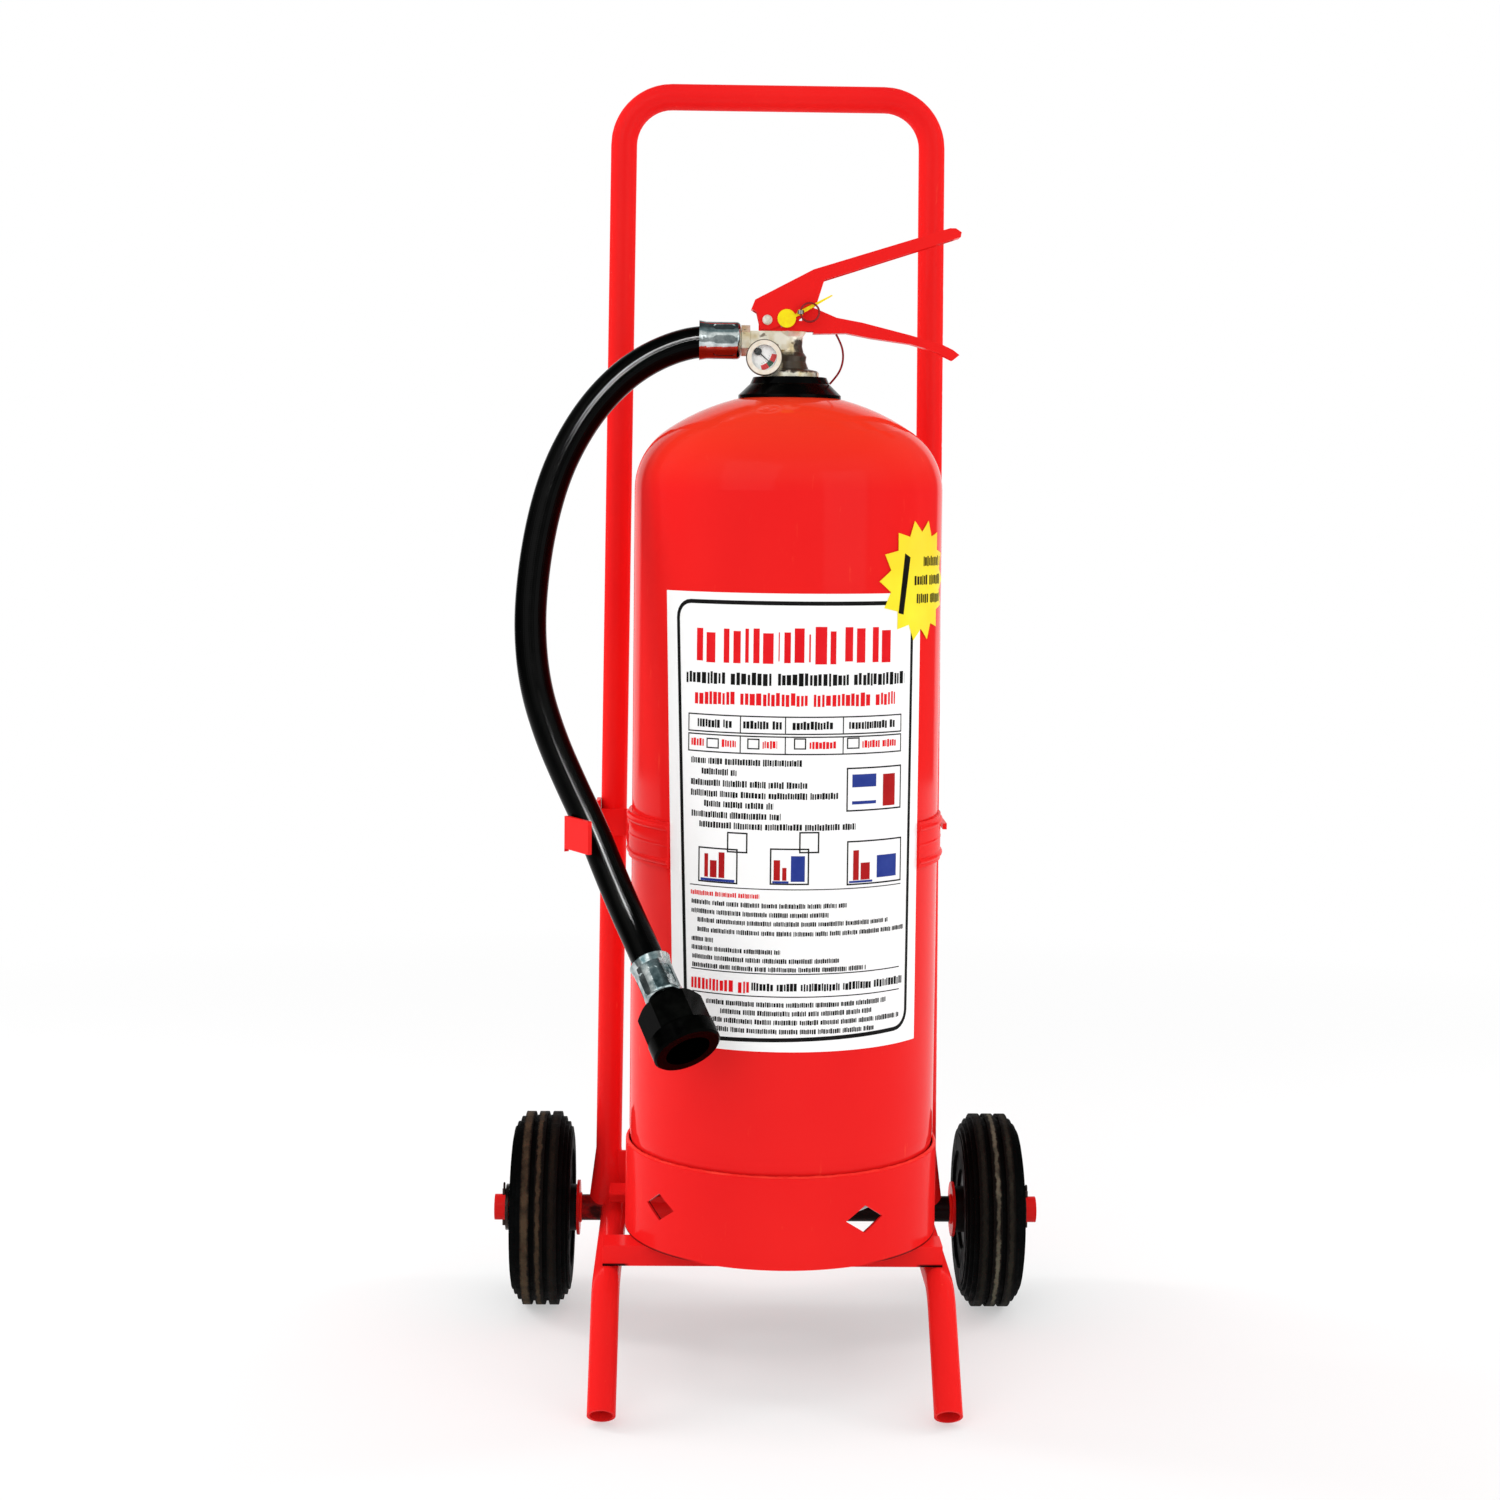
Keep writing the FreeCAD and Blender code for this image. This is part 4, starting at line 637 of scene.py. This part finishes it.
# Chrome sleeves: dark and bright patches, and painted shade with a dull red reflection under the
# sleeve by the valve
chromeValues = {
    "dark": srgb(84, 108, 112),
    "bright": srgb(226, 232, 232),
    "unevenScale": 75.0,
    "film": srgb(140, 104, 106),
    "shadeUp": (1.0, 0.994),
    "shadeAbove": 0.9,
}


def chromeColor(shading):
    values = chromeValues
    place = shading.place()
    up = shading.split(place)[2]
    uneven = shading.uneven(place, values["unevenScale"])
    color = shading.mix(uneven, values["dark"], values["bright"])
    # the upper sleeve's underside is dulled and reddened: painted shade and reflection
    upper = shading.math("GREATER_THAN", up, values["shadeAbove"])
    shadedUnder = shading.both(shading.span(up, *values["shadeUp"]), upper)
    return shading.mix(shadedUnder, color, values["film"])


finishes["chrome_plate"] = newMaterial(
    "chromePlate",
    chromeColor,
    roughBetween(180.0, 0.05, 0.12),
    grainBump(110.0, 0.0003),
    metal=1.0,
)
finishes["collar_rubber"] = newMaterial(
    "collarRubber",
    mottled(srgb(1, 1, 1), srgb(4, 4, 4), 70.0),
    roughBetween(120.0, 0.16, 0.24),
    grainBump(500.0, 0.00003),
    shine=0.05,
)
finishes["gasket_rubber"] = newMaterial(
    "gasketRubber",
    mottled(srgb(20, 20, 20), srgb(34, 34, 34), 120.0),
    roughBetween(160.0, 0.5, 0.7),
    grainBump(800.0, 0.00008),
)
finishes["nozzle_plastic"] = newMaterial(
    "nozzlePlastic",
    mottled(srgb(0, 0, 0), srgb(0.9, 1, 0.8), 55.0),
    roughBetween(110.0, 0.13, 0.2),
    grainBump(600.0, 0.00003, 2.0),
    shine=0.016,
)
finishes["inner_plastic"] = newMaterial(
    "innerPlastic",
    mottled(srgb(228, 226, 218), srgb(240, 239, 234), 40.0),
    roughBetween(80.0, 0.4, 0.55),
    grainBump(900.0, 0.00004),
)
finishes["seal_plastic"] = newMaterial(
    "sealPlastic",
    mottled(srgb(252, 236, 8), srgb(246, 218, 10), 180.0),
    roughBetween(200.0, 0.3, 0.45),
    grainBump(900.0, 0.00005),
    shine=0.2,
)
finishes["tether_cord"] = newMaterial(
    "tetherCord",
    mottled(srgb(150, 2, 20), srgb(112, 0, 14), 300.0),
    roughBetween(300.0, 0.4, 0.5),
    grainBump(1600.0, 0.00006),
    shine=0.1,
)
finishes["needle_paint"] = newMaterial(
    "needlePaint",
    mottled(srgb(16, 18, 18), srgb(30, 34, 34), 300.0),
    roughBetween(200.0, 0.4, 0.5),
    grainBump(900.0, 0.00002),
)


# Hose rubber: a woven cover, whose fine ridges break the highlight up
hoseValues = {"length": 0.764, "pitch": 0.0032, "round": 26.0, "depth": 0.00005}


def hoseBump(shading):
    parts = shading.split(shading.add("TexCoord", {}).outputs["UV"])
    along = shading.math("MULTIPLY", parts[0], hoseValues["length"] / hoseValues["pitch"])
    around = shading.math("MULTIPLY", parts[1], hoseValues["round"])

    def strands(way):
        turns = shading.math("MULTIPLY", shading.math(way, along, around), math.tau)
        return shading.math("SINE", turns)

    return shading.bump(shading.both(strands("ADD"), strands("SUBTRACT")), hoseValues["depth"])


finishes["hose_rubber"] = newMaterial(
    "hoseRubber",
    mottled(srgb(0, 0, 0), srgb(0.5, 0.5, 0.5), 50.0),
    roughBetween(90.0, 0.08, 0.12),
    hoseBump,
    shine=0.05,
)


# Paper and inks
finishes["label_paper"] = newMaterial(
    "labelPaper",
    mottled(srgb(254, 254, 254), srgb(249, 249, 248), 7.0),
    roughBetween(30.0, 0.35, 0.45),
    grainBump(300.0, 0.00002),
    shine=0.3,
)


stickerValues = {
    "yellow": srgb(255, 236, 40),
    "dull": srgb(250, 224, 28),
    "unevenScale": 20.0,
    # warmer above: start and end of the change, and its share
    "warm": srgb(255, 206, 40),
    "warmUp": (0.765, 0.805, 0, 0.35),
}


def stickerColor(shading):
    place = shading.place()
    uneven = shading.uneven(place, stickerValues["unevenScale"])
    color = shading.mix(uneven, stickerValues["yellow"], stickerValues["dull"])
    warm = shading.span(shading.split(place)[2], *stickerValues["warmUp"])
    return shading.mix(warm, color, stickerValues["warm"])


finishes["sticker_paper"] = newMaterial(
    "stickerPaper",
    stickerColor,
    roughBetween(30.0, 0.3, 0.4),
    grainBump(300.0, 0.00002),
    shine=0.3,
)


def newInk(name, dark, light):
    return newMaterial(
        name,
        mottled(dark, light, 45.0),
        roughBetween(60.0, 0.35, 0.5),
        grainBump(700.0, 0.00001),
        shine=0.1,
    )


inks = {
    "black": newInk("blackInk", srgb(8, 8, 8), srgb(20, 18, 18)),
    "red": newInk("redInk", srgb(222, 14, 26), srgb(232, 26, 34)),
    "darkRed": newInk("darkRedInk", srgb(166, 16, 22), srgb(180, 28, 28)),
    "blue": newInk("blueInk", srgb(34, 52, 134), srgb(50, 68, 148)),
}


# Dial: white card with a coloured arc and ticks about the needle's hub. The hub is in metres,
# other lengths are in mm, and turns are in degrees from the right
dialValues = {
    "hub": (-0.0230, 0.99316),
    "card": (srgb(250, 250, 248), srgb(242, 242, 238)),
    "unevenScale": 90.0,
    "radius": 16.0,
    "width": 5.2,
    "zones": [
        (-34, -8, srgb(214, 6, 10)),
        (-53, -34, srgb(0, 84, 52)),
        (-78, -53, srgb(214, 6, 10)),
    ],
    "ticks": (-75, -10, srgb(30, 30, 30)),
    "tickRadius": 12.0,
    "tickWidth": 1.6,
    "tickStep": 10.25,
    "tickShare": 0.16,
}


def dialColor(shading):
    values = dialValues
    place = shading.place()
    parts = shading.split(place)

    def away(part, middle):
        return shading.math("MULTIPLY", shading.math("SUBTRACT", part, middle), 1000.0)

    across = away(parts[0], values["hub"][0])
    up = away(parts[2], values["hub"][1])
    reach = shading.reach(across, up)
    turn = shading.math("MULTIPLY", shading.math("ARCTAN2", up, across), 180 / math.pi)
    band = shading.math("COMPARE", reach, values["radius"], values["width"] / 2)
    ring = shading.math("COMPARE", reach, values["tickRadius"], values["tickWidth"] / 2)

    def between(low, high, rows):
        middle, half = (low + high) / 2, (high - low) / 2
        return shading.both(shading.math("COMPARE", turn, middle, half), rows)

    color = shading.mix(shading.uneven(place, values["unevenScale"]), *values["card"])
    for low, high, tint in values["zones"]:
        color = shading.mix(between(low, high, band), color, tint)
    low, high, tint = values["ticks"]
    steps = shading.math("FRACT", shading.math("DIVIDE", turn, values["tickStep"]))
    ticks = shading.math("LESS_THAN", steps, values["tickShare"])
    return shading.mix(shading.both(ticks, between(low, high, ring)), color, tint)


finishes["dial_card"] = newMaterial(
    "dialCard", dialColor, roughBetween(200.0, 0.3, 0.4), grainBump(900.0, 0.00001)
)


# Lens: clear plastic that lets light through to the dial
lensValues = {"bend": 1.3, "shadow": (0.97, 0.98, 0.98, 1)}


def makeLens():
    material = newMaterial(
        "clearLens",
        mottled(srgb(255, 255, 255), srgb(250, 252, 252), 90.0),
        roughBetween(150.0, 0.0, 0.02),
        bend=lensValues["bend"],
        clear=1.0,
    )
    shading = Shading(material.node_tree)
    output = material.node_tree.nodes["Material Output"]
    shader = material.node_tree.nodes["Principled BSDF"].outputs[0]
    clear = shading.add("BsdfTransparent", {"Color": lensValues["shadow"]}).outputs[0]
    shadow = shading.add("LightPath", {}).outputs["Is Shadow Ray"]
    mixed = shading.add("MixShader", {0: shadow, 1: shader, 2: clear}).outputs[0]
    shading.put(output.inputs["Surface"], mixed)
    return material


finishes["clear_lens"] = makeLens()
# Nodes that look unlike the rest of their slot
ownFinishes = {
    "skirt_ring": skirtPaint,
    "front_cross_angle": anglePaint,
    "axle_tube": axlePaint,
    "gauge_case": nickelRing,
    "pull_ring": ringSteel,
    "axle_washers": darkSteel,
    "split_pins": darkSteel,
    "pivot_rivet": rivetSteel,
}


def dressNodes():
    for part in frame["record"]["subparts"]:
        mesh = nodes[part["node"]].data
        mesh.materials.clear()
        mesh.materials.append(ownFinishes.get(part["node"], finishes[part["material_slot"]]))


dressNodes()
print("stage: materials")


# Cords: the hose and the pin's tether, on the routes of the CAD, in mm about the vessel's axis
cordValues = {
    "order": 3,
    "steps": 14,
    # width in metres and steps round a quarter
    "hose": (0.0308, 12),
    "tether": (0.002, 4),
}


def cordPlace(point):
    across, forward, up = point
    return (vesselAxis.x + across / 1000, vesselAxis.y + forward / 1000, up / 1000)


def makeCord(name, points, width, bevelSteps, finish):
    curve = bpy.data.curves.new(name, "CURVE")
    curve.dimensions = "3D"
    curve.resolution_u = cordValues["steps"]
    curve.bevel_depth = width / 2
    curve.bevel_resolution = bevelSteps
    spline = curve.splines.new("NURBS")
    spline.points.add(len(points) - 1)
    for target, point in zip(spline.points, points):
        target.co = (*cordPlace(point), 1)
    spline.order_u = cordValues["order"]
    spline.use_endpoint_u = True
    curve.materials.append(finishes[finish])
    cord = bpy.data.objects.new(name, curve)
    scene.collection.objects.link(cord)
    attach(cord, "trolley")
    return cord


hoseRoute = [
    (-50, 0, 1004.9),
    (-84, 0, 1004.9),
    (-113, -2, 998),
    (-142, -5, 984),
    (-168, -9, 964),
    (-191, -13, 938),
    (-210, -17, 908),
    (-226, -21, 873),
    (-238, -27, 830),
    (-246, -34, 780),
    (-249, -43, 726),
    (-243, -53, 672),
    (-227, -63, 623),
    (-206, -74, 578),
    (-184, -86, 535),
    (-167, -101, 496),
    (-149.5, -120, 460),
    (-133, -143, 430),
    (-119.5, -166, 404.7),
]
tetherRoute = [
    (38.4, -8, 963.76),
    (46, -8, 972.16),
    (50.5, -8, 982.16),
    (51.5, -8, 992.66),
    (49, -8, 1003.16),
    (44, -8, 1011.96),
]


def makeCords():
    hose = makeCord("hoseCover", hoseRoute, *cordValues["hose"], "hose_rubber")
    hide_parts("hose")
    tether = makeCord("pinTether", tetherRoute, *cordValues["tether"], "tether_cord")
    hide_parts("pin_tether")


makeCords()
print("stage: cords")


def newPiece(name, bm, material):
    mesh = bpy.data.meshes.new(name)
    bm.to_mesh(mesh)
    bm.free()
    mesh.materials.append(material)
    piece = bpy.data.objects.new(name, mesh)
    scene.collection.objects.link(piece)
    return piece


# Print on the label and the sticker: flat shapes, in mm along the arc and up, cut into columns
# and bent round the vessel. Rows of plain strokes stand for the words
printValues = {
    # radii in mm: the label's print, the sticker's print, and the arc that places are along
    "radius": 150.68,
    "stickerRadius": 151.28,
    "arcRadius": 150.5,
    # turn of the label's middle, in degrees
    "middle": 3.4,
    # width of a column, and the range of cuts between them
    "column": 6.0,
    "cuts": (-24, 33),
    "borderLine": 3.8,
    "borderCorner": 18.0,
    "cornerSteps": 6,
    # thickness in metres
    "film": 0.00004,
    "seed": 7,
}
# Strokes of the words, as shares of the row's size
wordValues = {
    "word": (2.0, 6.0),
    "afterWord": 0.35,
    "stroke": (0.15, 0.38),
    "afterStroke": (0.08, 0.14),
    "below": (0.4, 0.5),
    "above": (0.3, 0.5),
    "least": 0.2,
}
# Rows of words: left, right, middle height, size
blackRows = [
    (-114.6, 110.2, 686.5, 12.5),
    (-101, -65, 644, 8),
    (-54, -17, 644, 8),
    (-8, 34, 644, 8),
    (46, 98, 644, 8),
    (-108, 3, 609, 6.4),
    (-96, -60, 599, 6.4),
    (-108, 7.5, 588.5, 6.4),
    (-108, 36, 578.5, 6.4),
    (-93, -25, 569, 6.4),
    (-107, -18, 559, 6.4),
    (-98, 54, 549.5, 6.4),
    (-106, 46, 476, 4.7),
    (-106, 28, 467.5, 4.7),
    (-99, 92, 459.2, 4.7),
    (-99, 113.6, 450.2, 4.7),
    (-105.5, -82, 441, 4.7),
    (-105.4, -17, 432.8, 4.7),
    (-104.6, 41.5, 424.5, 4.7),
    (-104.5, 67, 416.5, 4.7),
    (-43.5, 112.5, 400, 8),
    (-88.7, 91, 383.5, 5),
    (-73.8, 74, 375.3, 5),
    (-92.6, 109, 367, 5),
    (-80, 77, 358.5, 5),
]
titleLefts = (-102.7, -74, -45.2, -16.5, 12.3, 41, 69.8)
redRows = [(left, left + 24.5, 717.7, 35.5) for left in titleLefts]
redRows += [
    (-104.4, 97.6, 667.8, 13),
    (-108, -94, 626, 7.5),
    (-75, -61, 626, 7.5),
    (-35.5, -22, 626, 7.5),
    (8, 33, 626, 7.5),
    (60, 100, 626, 7.5),
    (-107, -37, 484.5, 4.7),
    (-105.4, -45.8, 399, 11.5),
]
stickerRows = [(138.5, 181, 795, 10), (123, 182, 777.5, 10.5), (127, 181, 760, 10)]
# Outlines: left, right, low, high, width of the line
blackBoxes = [
    (-111.8, 106.8, 635.5, 652.5, 1.2),
    (-111.8, 106.8, 616.8, 634, 1.2),
    (-91, -78, 620.6, 630.2, 1.2),
    (-50, -38.4, 621.4, 631.4, 1.2),
    (-6.6, 4.8, 622, 632.4, 1.2),
    (44, 57, 622, 632.5, 1.2),
    (44.2, 107.3, 563.5, 604.5, 1.4),
    (-98.7, -58, 495, 528, 1.4),
    (-68.7, -48.7, 524.4, 543.6, 1.4),
    (-27.5, 9, 496, 530, 1.4),
    (-0.6, 18.3, 525.6, 545.5, 1.4),
    (45.5, 109, 494.5, 536, 1.4),
]
# Bars: left, right, low, high
blackBars = [
    (-57.2, -56.2, 635.5, 652.5),
    (-15.0, -14.0, 635.5, 652.5),
    (39.7, 40.7, 635.5, 652.5),
    (-57.2, -56.2, 616.8, 634),
    (-15.0, -14.0, 616.8, 634),
    (39.7, 40.7, 616.8, 634),
    (-108, 109, 491.1, 492),
    (-105.5, 108.5, 412, 413),
    (-104, 109, 390.6, 391.6),
]
darkRedBars = [
    (84, 99, 567, 597),
    (-92, -88, 500, 522),
    (-86, -79, 500, 516),
    (-77, -71, 500, 524),
    (-24, -18, 500, 519),
    (-16, -12, 500, 512),
    (52, 58, 499, 527),
    (60, 70, 499, 515),
]
blueBars = [
    (50, 76, 586, 598),
    (50, 76, 570, 573),
    (-96, -61, 496.5, 499),
    (-8, 5, 499, 523),
    (-25, -10, 497.5, 499.5),
    (78, 102, 500, 521),
    (48, 73, 496.5, 498.5),
]
# Corners of the label's border and of the slanted bar on the sticker
borderCorners = [(-112.6, 346.3), (121, 352.2), (122.8, 758.7), (-128.2, 758.7)]
markCorners = [(100, 747), (107, 745.5), (116, 799), (108, 803)]


def addBar(bm, left, right, low, high):
    place = Matrix.Translation(((left + right) / 2, (low + high) / 2, 0))
    size = Matrix.Diagonal((right - left, high - low, 1, 1))
    bmesh.ops.create_grid(bm, x_segments=1, y_segments=1, size=0.5, matrix=place @ size)


def addSheet(bm, corners):
    return bm.faces.new([bm.verts.new((across, up, 0)) for across, up in corners])


def addFrame(bm, corners, line, corner=0.0):
    before = set(bm.faces)
    face = addSheet(bm, corners)
    face.normal_update()
    if corner:
        bmesh.ops.bevel(
            bm,
            geom=face.verts[:],
            affect="VERTICES",
            offset=corner,
            segments=printValues["cornerSteps"],
            profile=0.5,
            material=-1,
        )
        face = next(face for face in bm.faces if face not in before)
    bmesh.ops.inset_region(
        bm, faces=[face], thickness=line, use_boundary=True, use_even_offset=True
    )
    bmesh.ops.delete(bm, geom=[face], context="FACES")


def addWords(bm, draw, left, right, middle, size):
    values = wordValues
    across = left
    while across < right - values["least"] * size:
        end = min(across + size * draw.uniform(*values["word"]), right)
        while across < end:
            width = size * draw.uniform(*values["stroke"])
            low = middle - size * draw.uniform(*values["below"])
            high = middle + size * draw.uniform(*values["above"])
            addBar(bm, across, min(across + width, right), low, high)
            across += width + size * draw.uniform(*values["afterStroke"])
        across += values["afterWord"] * size


def finishPrint(name, bm, radius, ink):
    for step in range(*printValues["cuts"]):
        bmesh.ops.bisect_plane(
            bm,
            geom=bm.verts[:] + bm.edges[:] + bm.faces[:],
            dist=0.0001,
            plane_co=(step * printValues["column"], 0, 0),
            plane_no=(1, 0, 0),
        )
    for vert in bm.verts:
        turn = math.radians(printValues["middle"]) + vert.co.x / printValues["arcRadius"]
        across = vesselAxis.x + radius / 1000 * math.sin(turn)
        vert.co = (across, vesselAxis.y - radius / 1000 * math.cos(turn), vert.co.y / 1000)
    piece = newPiece(name, bm, inks[ink])
    film = piece.modifiers.new("film", "SOLIDIFY")
    film.thickness = printValues["film"]
    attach(piece, "trolley")


def makePrint():
    values = printValues
    draw = random.Random(values["seed"])
    black = bmesh.new()
    for row in blackRows:
        addWords(black, draw, *row)
    for left, right, low, high, line in blackBoxes:
        addFrame(black, [(left, low), (right, low), (right, high), (left, high)], line)
    for bar in blackBars:
        addBar(black, *bar)
    addFrame(black, borderCorners, values["borderLine"], values["borderCorner"])
    finishPrint("blackPrint", black, values["radius"], "black")
    red = bmesh.new()
    for row in redRows:
        addWords(red, draw, *row)
    finishPrint("redPrint", red, values["radius"], "red")
    blocks = {"redBlocks": (darkRedBars, "darkRed"), "blueBlocks": (blueBars, "blue")}
    for name, (bars, ink) in blocks.items():
        block = bmesh.new()
        for bar in bars:
            addBar(block, *bar)
        finishPrint(name, block, values["radius"], ink)
    sticker = bmesh.new()
    for row in stickerRows:
        addWords(sticker, draw, *row)
    addSheet(sticker, markCorners)
    finishPrint("stickerPrint", sticker, values["stickerRadius"], "black")


makePrint()
print("stage: print")


# Weld beads: round the top of the skirt, and on the axle inside its two collars
beadValues = {
    "skirt": (vesselAxis.x, vesselAxis.y, 0.2209),
    "skirtRadius": 0.1515,
    "collar": 0.1958,
    "collarRadius": 0.0142,
    "width": 0.003,
    "ripple": 0.0004,
    # steps round the bead itself, along the skirt's and along a collar's
    "roundSteps": 8,
    "skirtSteps": 240,
    "collarSteps": 36,
    "seed": 3,
}


def addRing(bm, centre, turn, radius, steps):
    ring = Matrix.Translation(centre) @ turn
    place = ring @ Matrix.Translation((radius, 0, 0)) @ Matrix.Rotation(math.pi / 2, 4, "X")
    made = bmesh.ops.create_circle(
        bm, segments=beadValues["roundSteps"], radius=beadValues["width"] / 2, matrix=place
    )["verts"]
    edges = list(dict.fromkeys(edge for vert in made for edge in vert.link_edges))
    bmesh.ops.spin(
        bm,
        geom=made + edges,
        cent=centre,
        axis=ring.to_3x3() @ Vector((0, 0, 1)),
        angle=math.tau,
        steps=steps,
        use_merge=True,
    )


def makeBeads():
    values = beadValues
    bm = bmesh.new()
    addRing(bm, Vector(values["skirt"]), Matrix(), values["skirtRadius"], values["skirtSteps"])
    turn = Matrix.Rotation(math.pi / 2, 4, "Y")
    for side in (-1, 1):
        centre = Vector((side * values["collar"], axleAxis.y, axleAxis.z))
        addRing(bm, centre, turn, values["collarRadius"], values["collarSteps"])
    draw = random.Random(values["seed"])
    for vert in bm.verts:
        vert.co.z += draw.uniform(-1, 1) * values["ripple"]
    bmesh.ops.recalc_face_normals(bm, faces=bm.faces)
    # the spin leaves its faces in any order, so they are put in that of their vertices
    bm.verts.index_update()
    ordered = sorted(bm.faces, key=lambda face: sorted(vert.index for vert in face.verts))
    ranks = {face: rank for rank, face in enumerate(ordered)}
    bm.faces.sort(key=ranks.get)
    piece = newPiece("weldBeads", bm, beadPaint)
    piece.data.shade_smooth()
    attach(piece, "trolley")


makeBeads()
print("stage: weld beads")


def makeSpring():
    spring = bpy.data.objects.new("springCoil", nodes["valve_spring"].data.copy())
    scene.collection.objects.link(spring)
    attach(spring, "trolley")
    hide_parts("valve_spring")
    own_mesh(spring)


makeSpring()
print("stage: spring")


# Floor: white paper that glows where it is seen, and takes a soft shadow under the object
floorValues = {
    "radius": 5.0,
    "sides": 96,
    "color": (0.9, 0.9, 0.9, 1),
    "roughness": 0.9,
    # share of the shadow under the object, and where it starts to fade and ends
    "shadow": 0.55,
    "shadowOut": (0.4, 2.4),
}


def makeFloor():
    values = floorValues
    bm = bmesh.new()
    bmesh.ops.create_circle(bm, cap_ends=True, segments=values["sides"], radius=values["radius"])
    material = bpy.data.materials.new("floorPaper")
    material.use_nodes = True
    tree = material.node_tree
    shading = Shading(tree)
    shader = tree.nodes["Principled BSDF"]
    shader.inputs["Base Color"].default_value = values["color"]
    shader.inputs["Roughness"].default_value = values["roughness"]
    shader.inputs["Specular IOR Level"].default_value = 0.0
    glow = shading.add("Emission", {"Color": white, "Strength": 1.0}).outputs[0]
    path = shading.add("LightPath", {}).outputs
    seen = shading.math("ADD", path["Is Camera Ray"], path["Is Glossy Ray"])
    seen = shading.math("ADD", seen, path["Is Transmission Ray"], clamp=True)
    parts = shading.split(shading.place())
    reach = shading.reach(parts[0], parts[1])
    share = shading.span(reach, *values["shadowOut"], 1 - values["shadow"], 1.0)
    inputs = {0: shading.both(share, seen), 1: shader.outputs[0], 2: glow}
    mixed = shading.add("MixShader", inputs).outputs[0]
    shading.put(tree.nodes["Material Output"].inputs["Surface"], mixed)
    floor = newPiece("floor", bm, material)


makeFloor()


# Light: soft boxes and a pale room that shines white only behind the object. Each box has its
# place, size and power, and says whether gloss mirrors it
lightTarget = Vector((0, 0, 0.65))
lightValues = {
    "key": ((-1.6, -2.6, 2.1), (2.4, 2.4), 20.0, True),
    "fill": ((1.9, -2.3, 1.3), (1.8, 2.2), 13.0, True),
    "top": ((0.0, -0.2, 2.9), (1.8, 1.2), 6.0, False),
    "tube": ((-0.12, -2.3, 2.45), (0.7, 0.5), 520.0, True),
    "leftStrip": ((-1.9, 0.6, 1.2), (0.35, 1.8), 20.0, False),
    "rightStrip": ((1.9, 0.6, 1.2), (0.35, 1.8), 13.0, False),
}
# What gloss sees of the room: bands by the height that it looks to, dimmer to the sides, and
# white behind the object
roomValues = {
    "diffuse": (0.76, 0.76, 0.76, 1),
    "sideLevel": 0.3,
    "sideRise": (-0.35, -0.05),
    "behindRise": (0.8, 0.85),
    "bands": [
        (0.0, (0.32, 0.34, 0.34)),
        (0.2, (0.34, 0.37, 0.37)),
        (0.34, (0.9, 0.92, 0.9)),
        (0.66, (0.95, 0.96, 0.94)),
        (0.8, (0.2, 0.27, 0.28)),
        (1.0, (0.16, 0.2, 0.21)),
    ],
}


# The tube lights the black rubber only, which has a long highlight
def tubeLit():
    group = bpy.data.collections.new("tubeLit")
    group.objects.link(bpy.data.objects["hoseCover"])
    group.objects.link(nodes["nozzle_body"])
    return group


def makeLights():
    for name, (place, size, power, mirrored) in lightValues.items():
        data = bpy.data.lights.new(name + "Light", "AREA")
        data.shape = "RECTANGLE"
        data.size, data.size_y = size
        data.energy = power
        light = bpy.data.objects.new(name + "Light", data)
        scene.collection.objects.link(light)
        light.location = place
        toward = lightTarget - Vector(place)
        light.rotation_euler = toward.to_track_quat("-Z", "Y").to_euler()
        light.visible_camera = False
        light.visible_glossy = mirrored
        if name == "tube":
            light.light_linking.receiver_collection = tubeLit()


def makeRoom():
    values = roomValues
    world = bpy.data.worlds.new("room")
    scene.world = world
    world.use_nodes = True
    tree = world.node_tree
    shading = Shading(tree)
    output = tree.nodes["Background"]
    path = shading.add("LightPath", {}).outputs
    parts = shading.split(shading.add("TexCoord", {}).outputs["Generated"])
    ramp = shading.add("ValToRGB", {0: parts[2]})
    for band in values["bands"][1:-1]:
        ramp.color_ramp.elements.new(band[0])
    for element, (place, tint) in zip(ramp.color_ramp.elements, values["bands"]):
        element.position = place
        element.color = (*tint, 1)
    behind = shading.span(parts[1], *values["behindRise"])
    sides = shading.span(parts[1], *values["sideRise"], 0, 1 - values["sideLevel"])
    bands = shading.mix(sides, ramp.outputs[0], (0, 0, 0, 1))
    mirrored = shading.mix(behind, bands, white)
    shown = shading.math("ADD", path["Is Camera Ray"], path["Is Transmission Ray"], clamp=True)
    color = shading.mix(path["Is Glossy Ray"], values["diffuse"], mirrored)
    shading.put(output.inputs["Color"], shading.mix(shown, color, white))
    output.inputs["Strength"].default_value = 1.0


makeLights()
makeRoom()
scene.view_settings.view_transform = "Standard"
print("stage: floor and light")
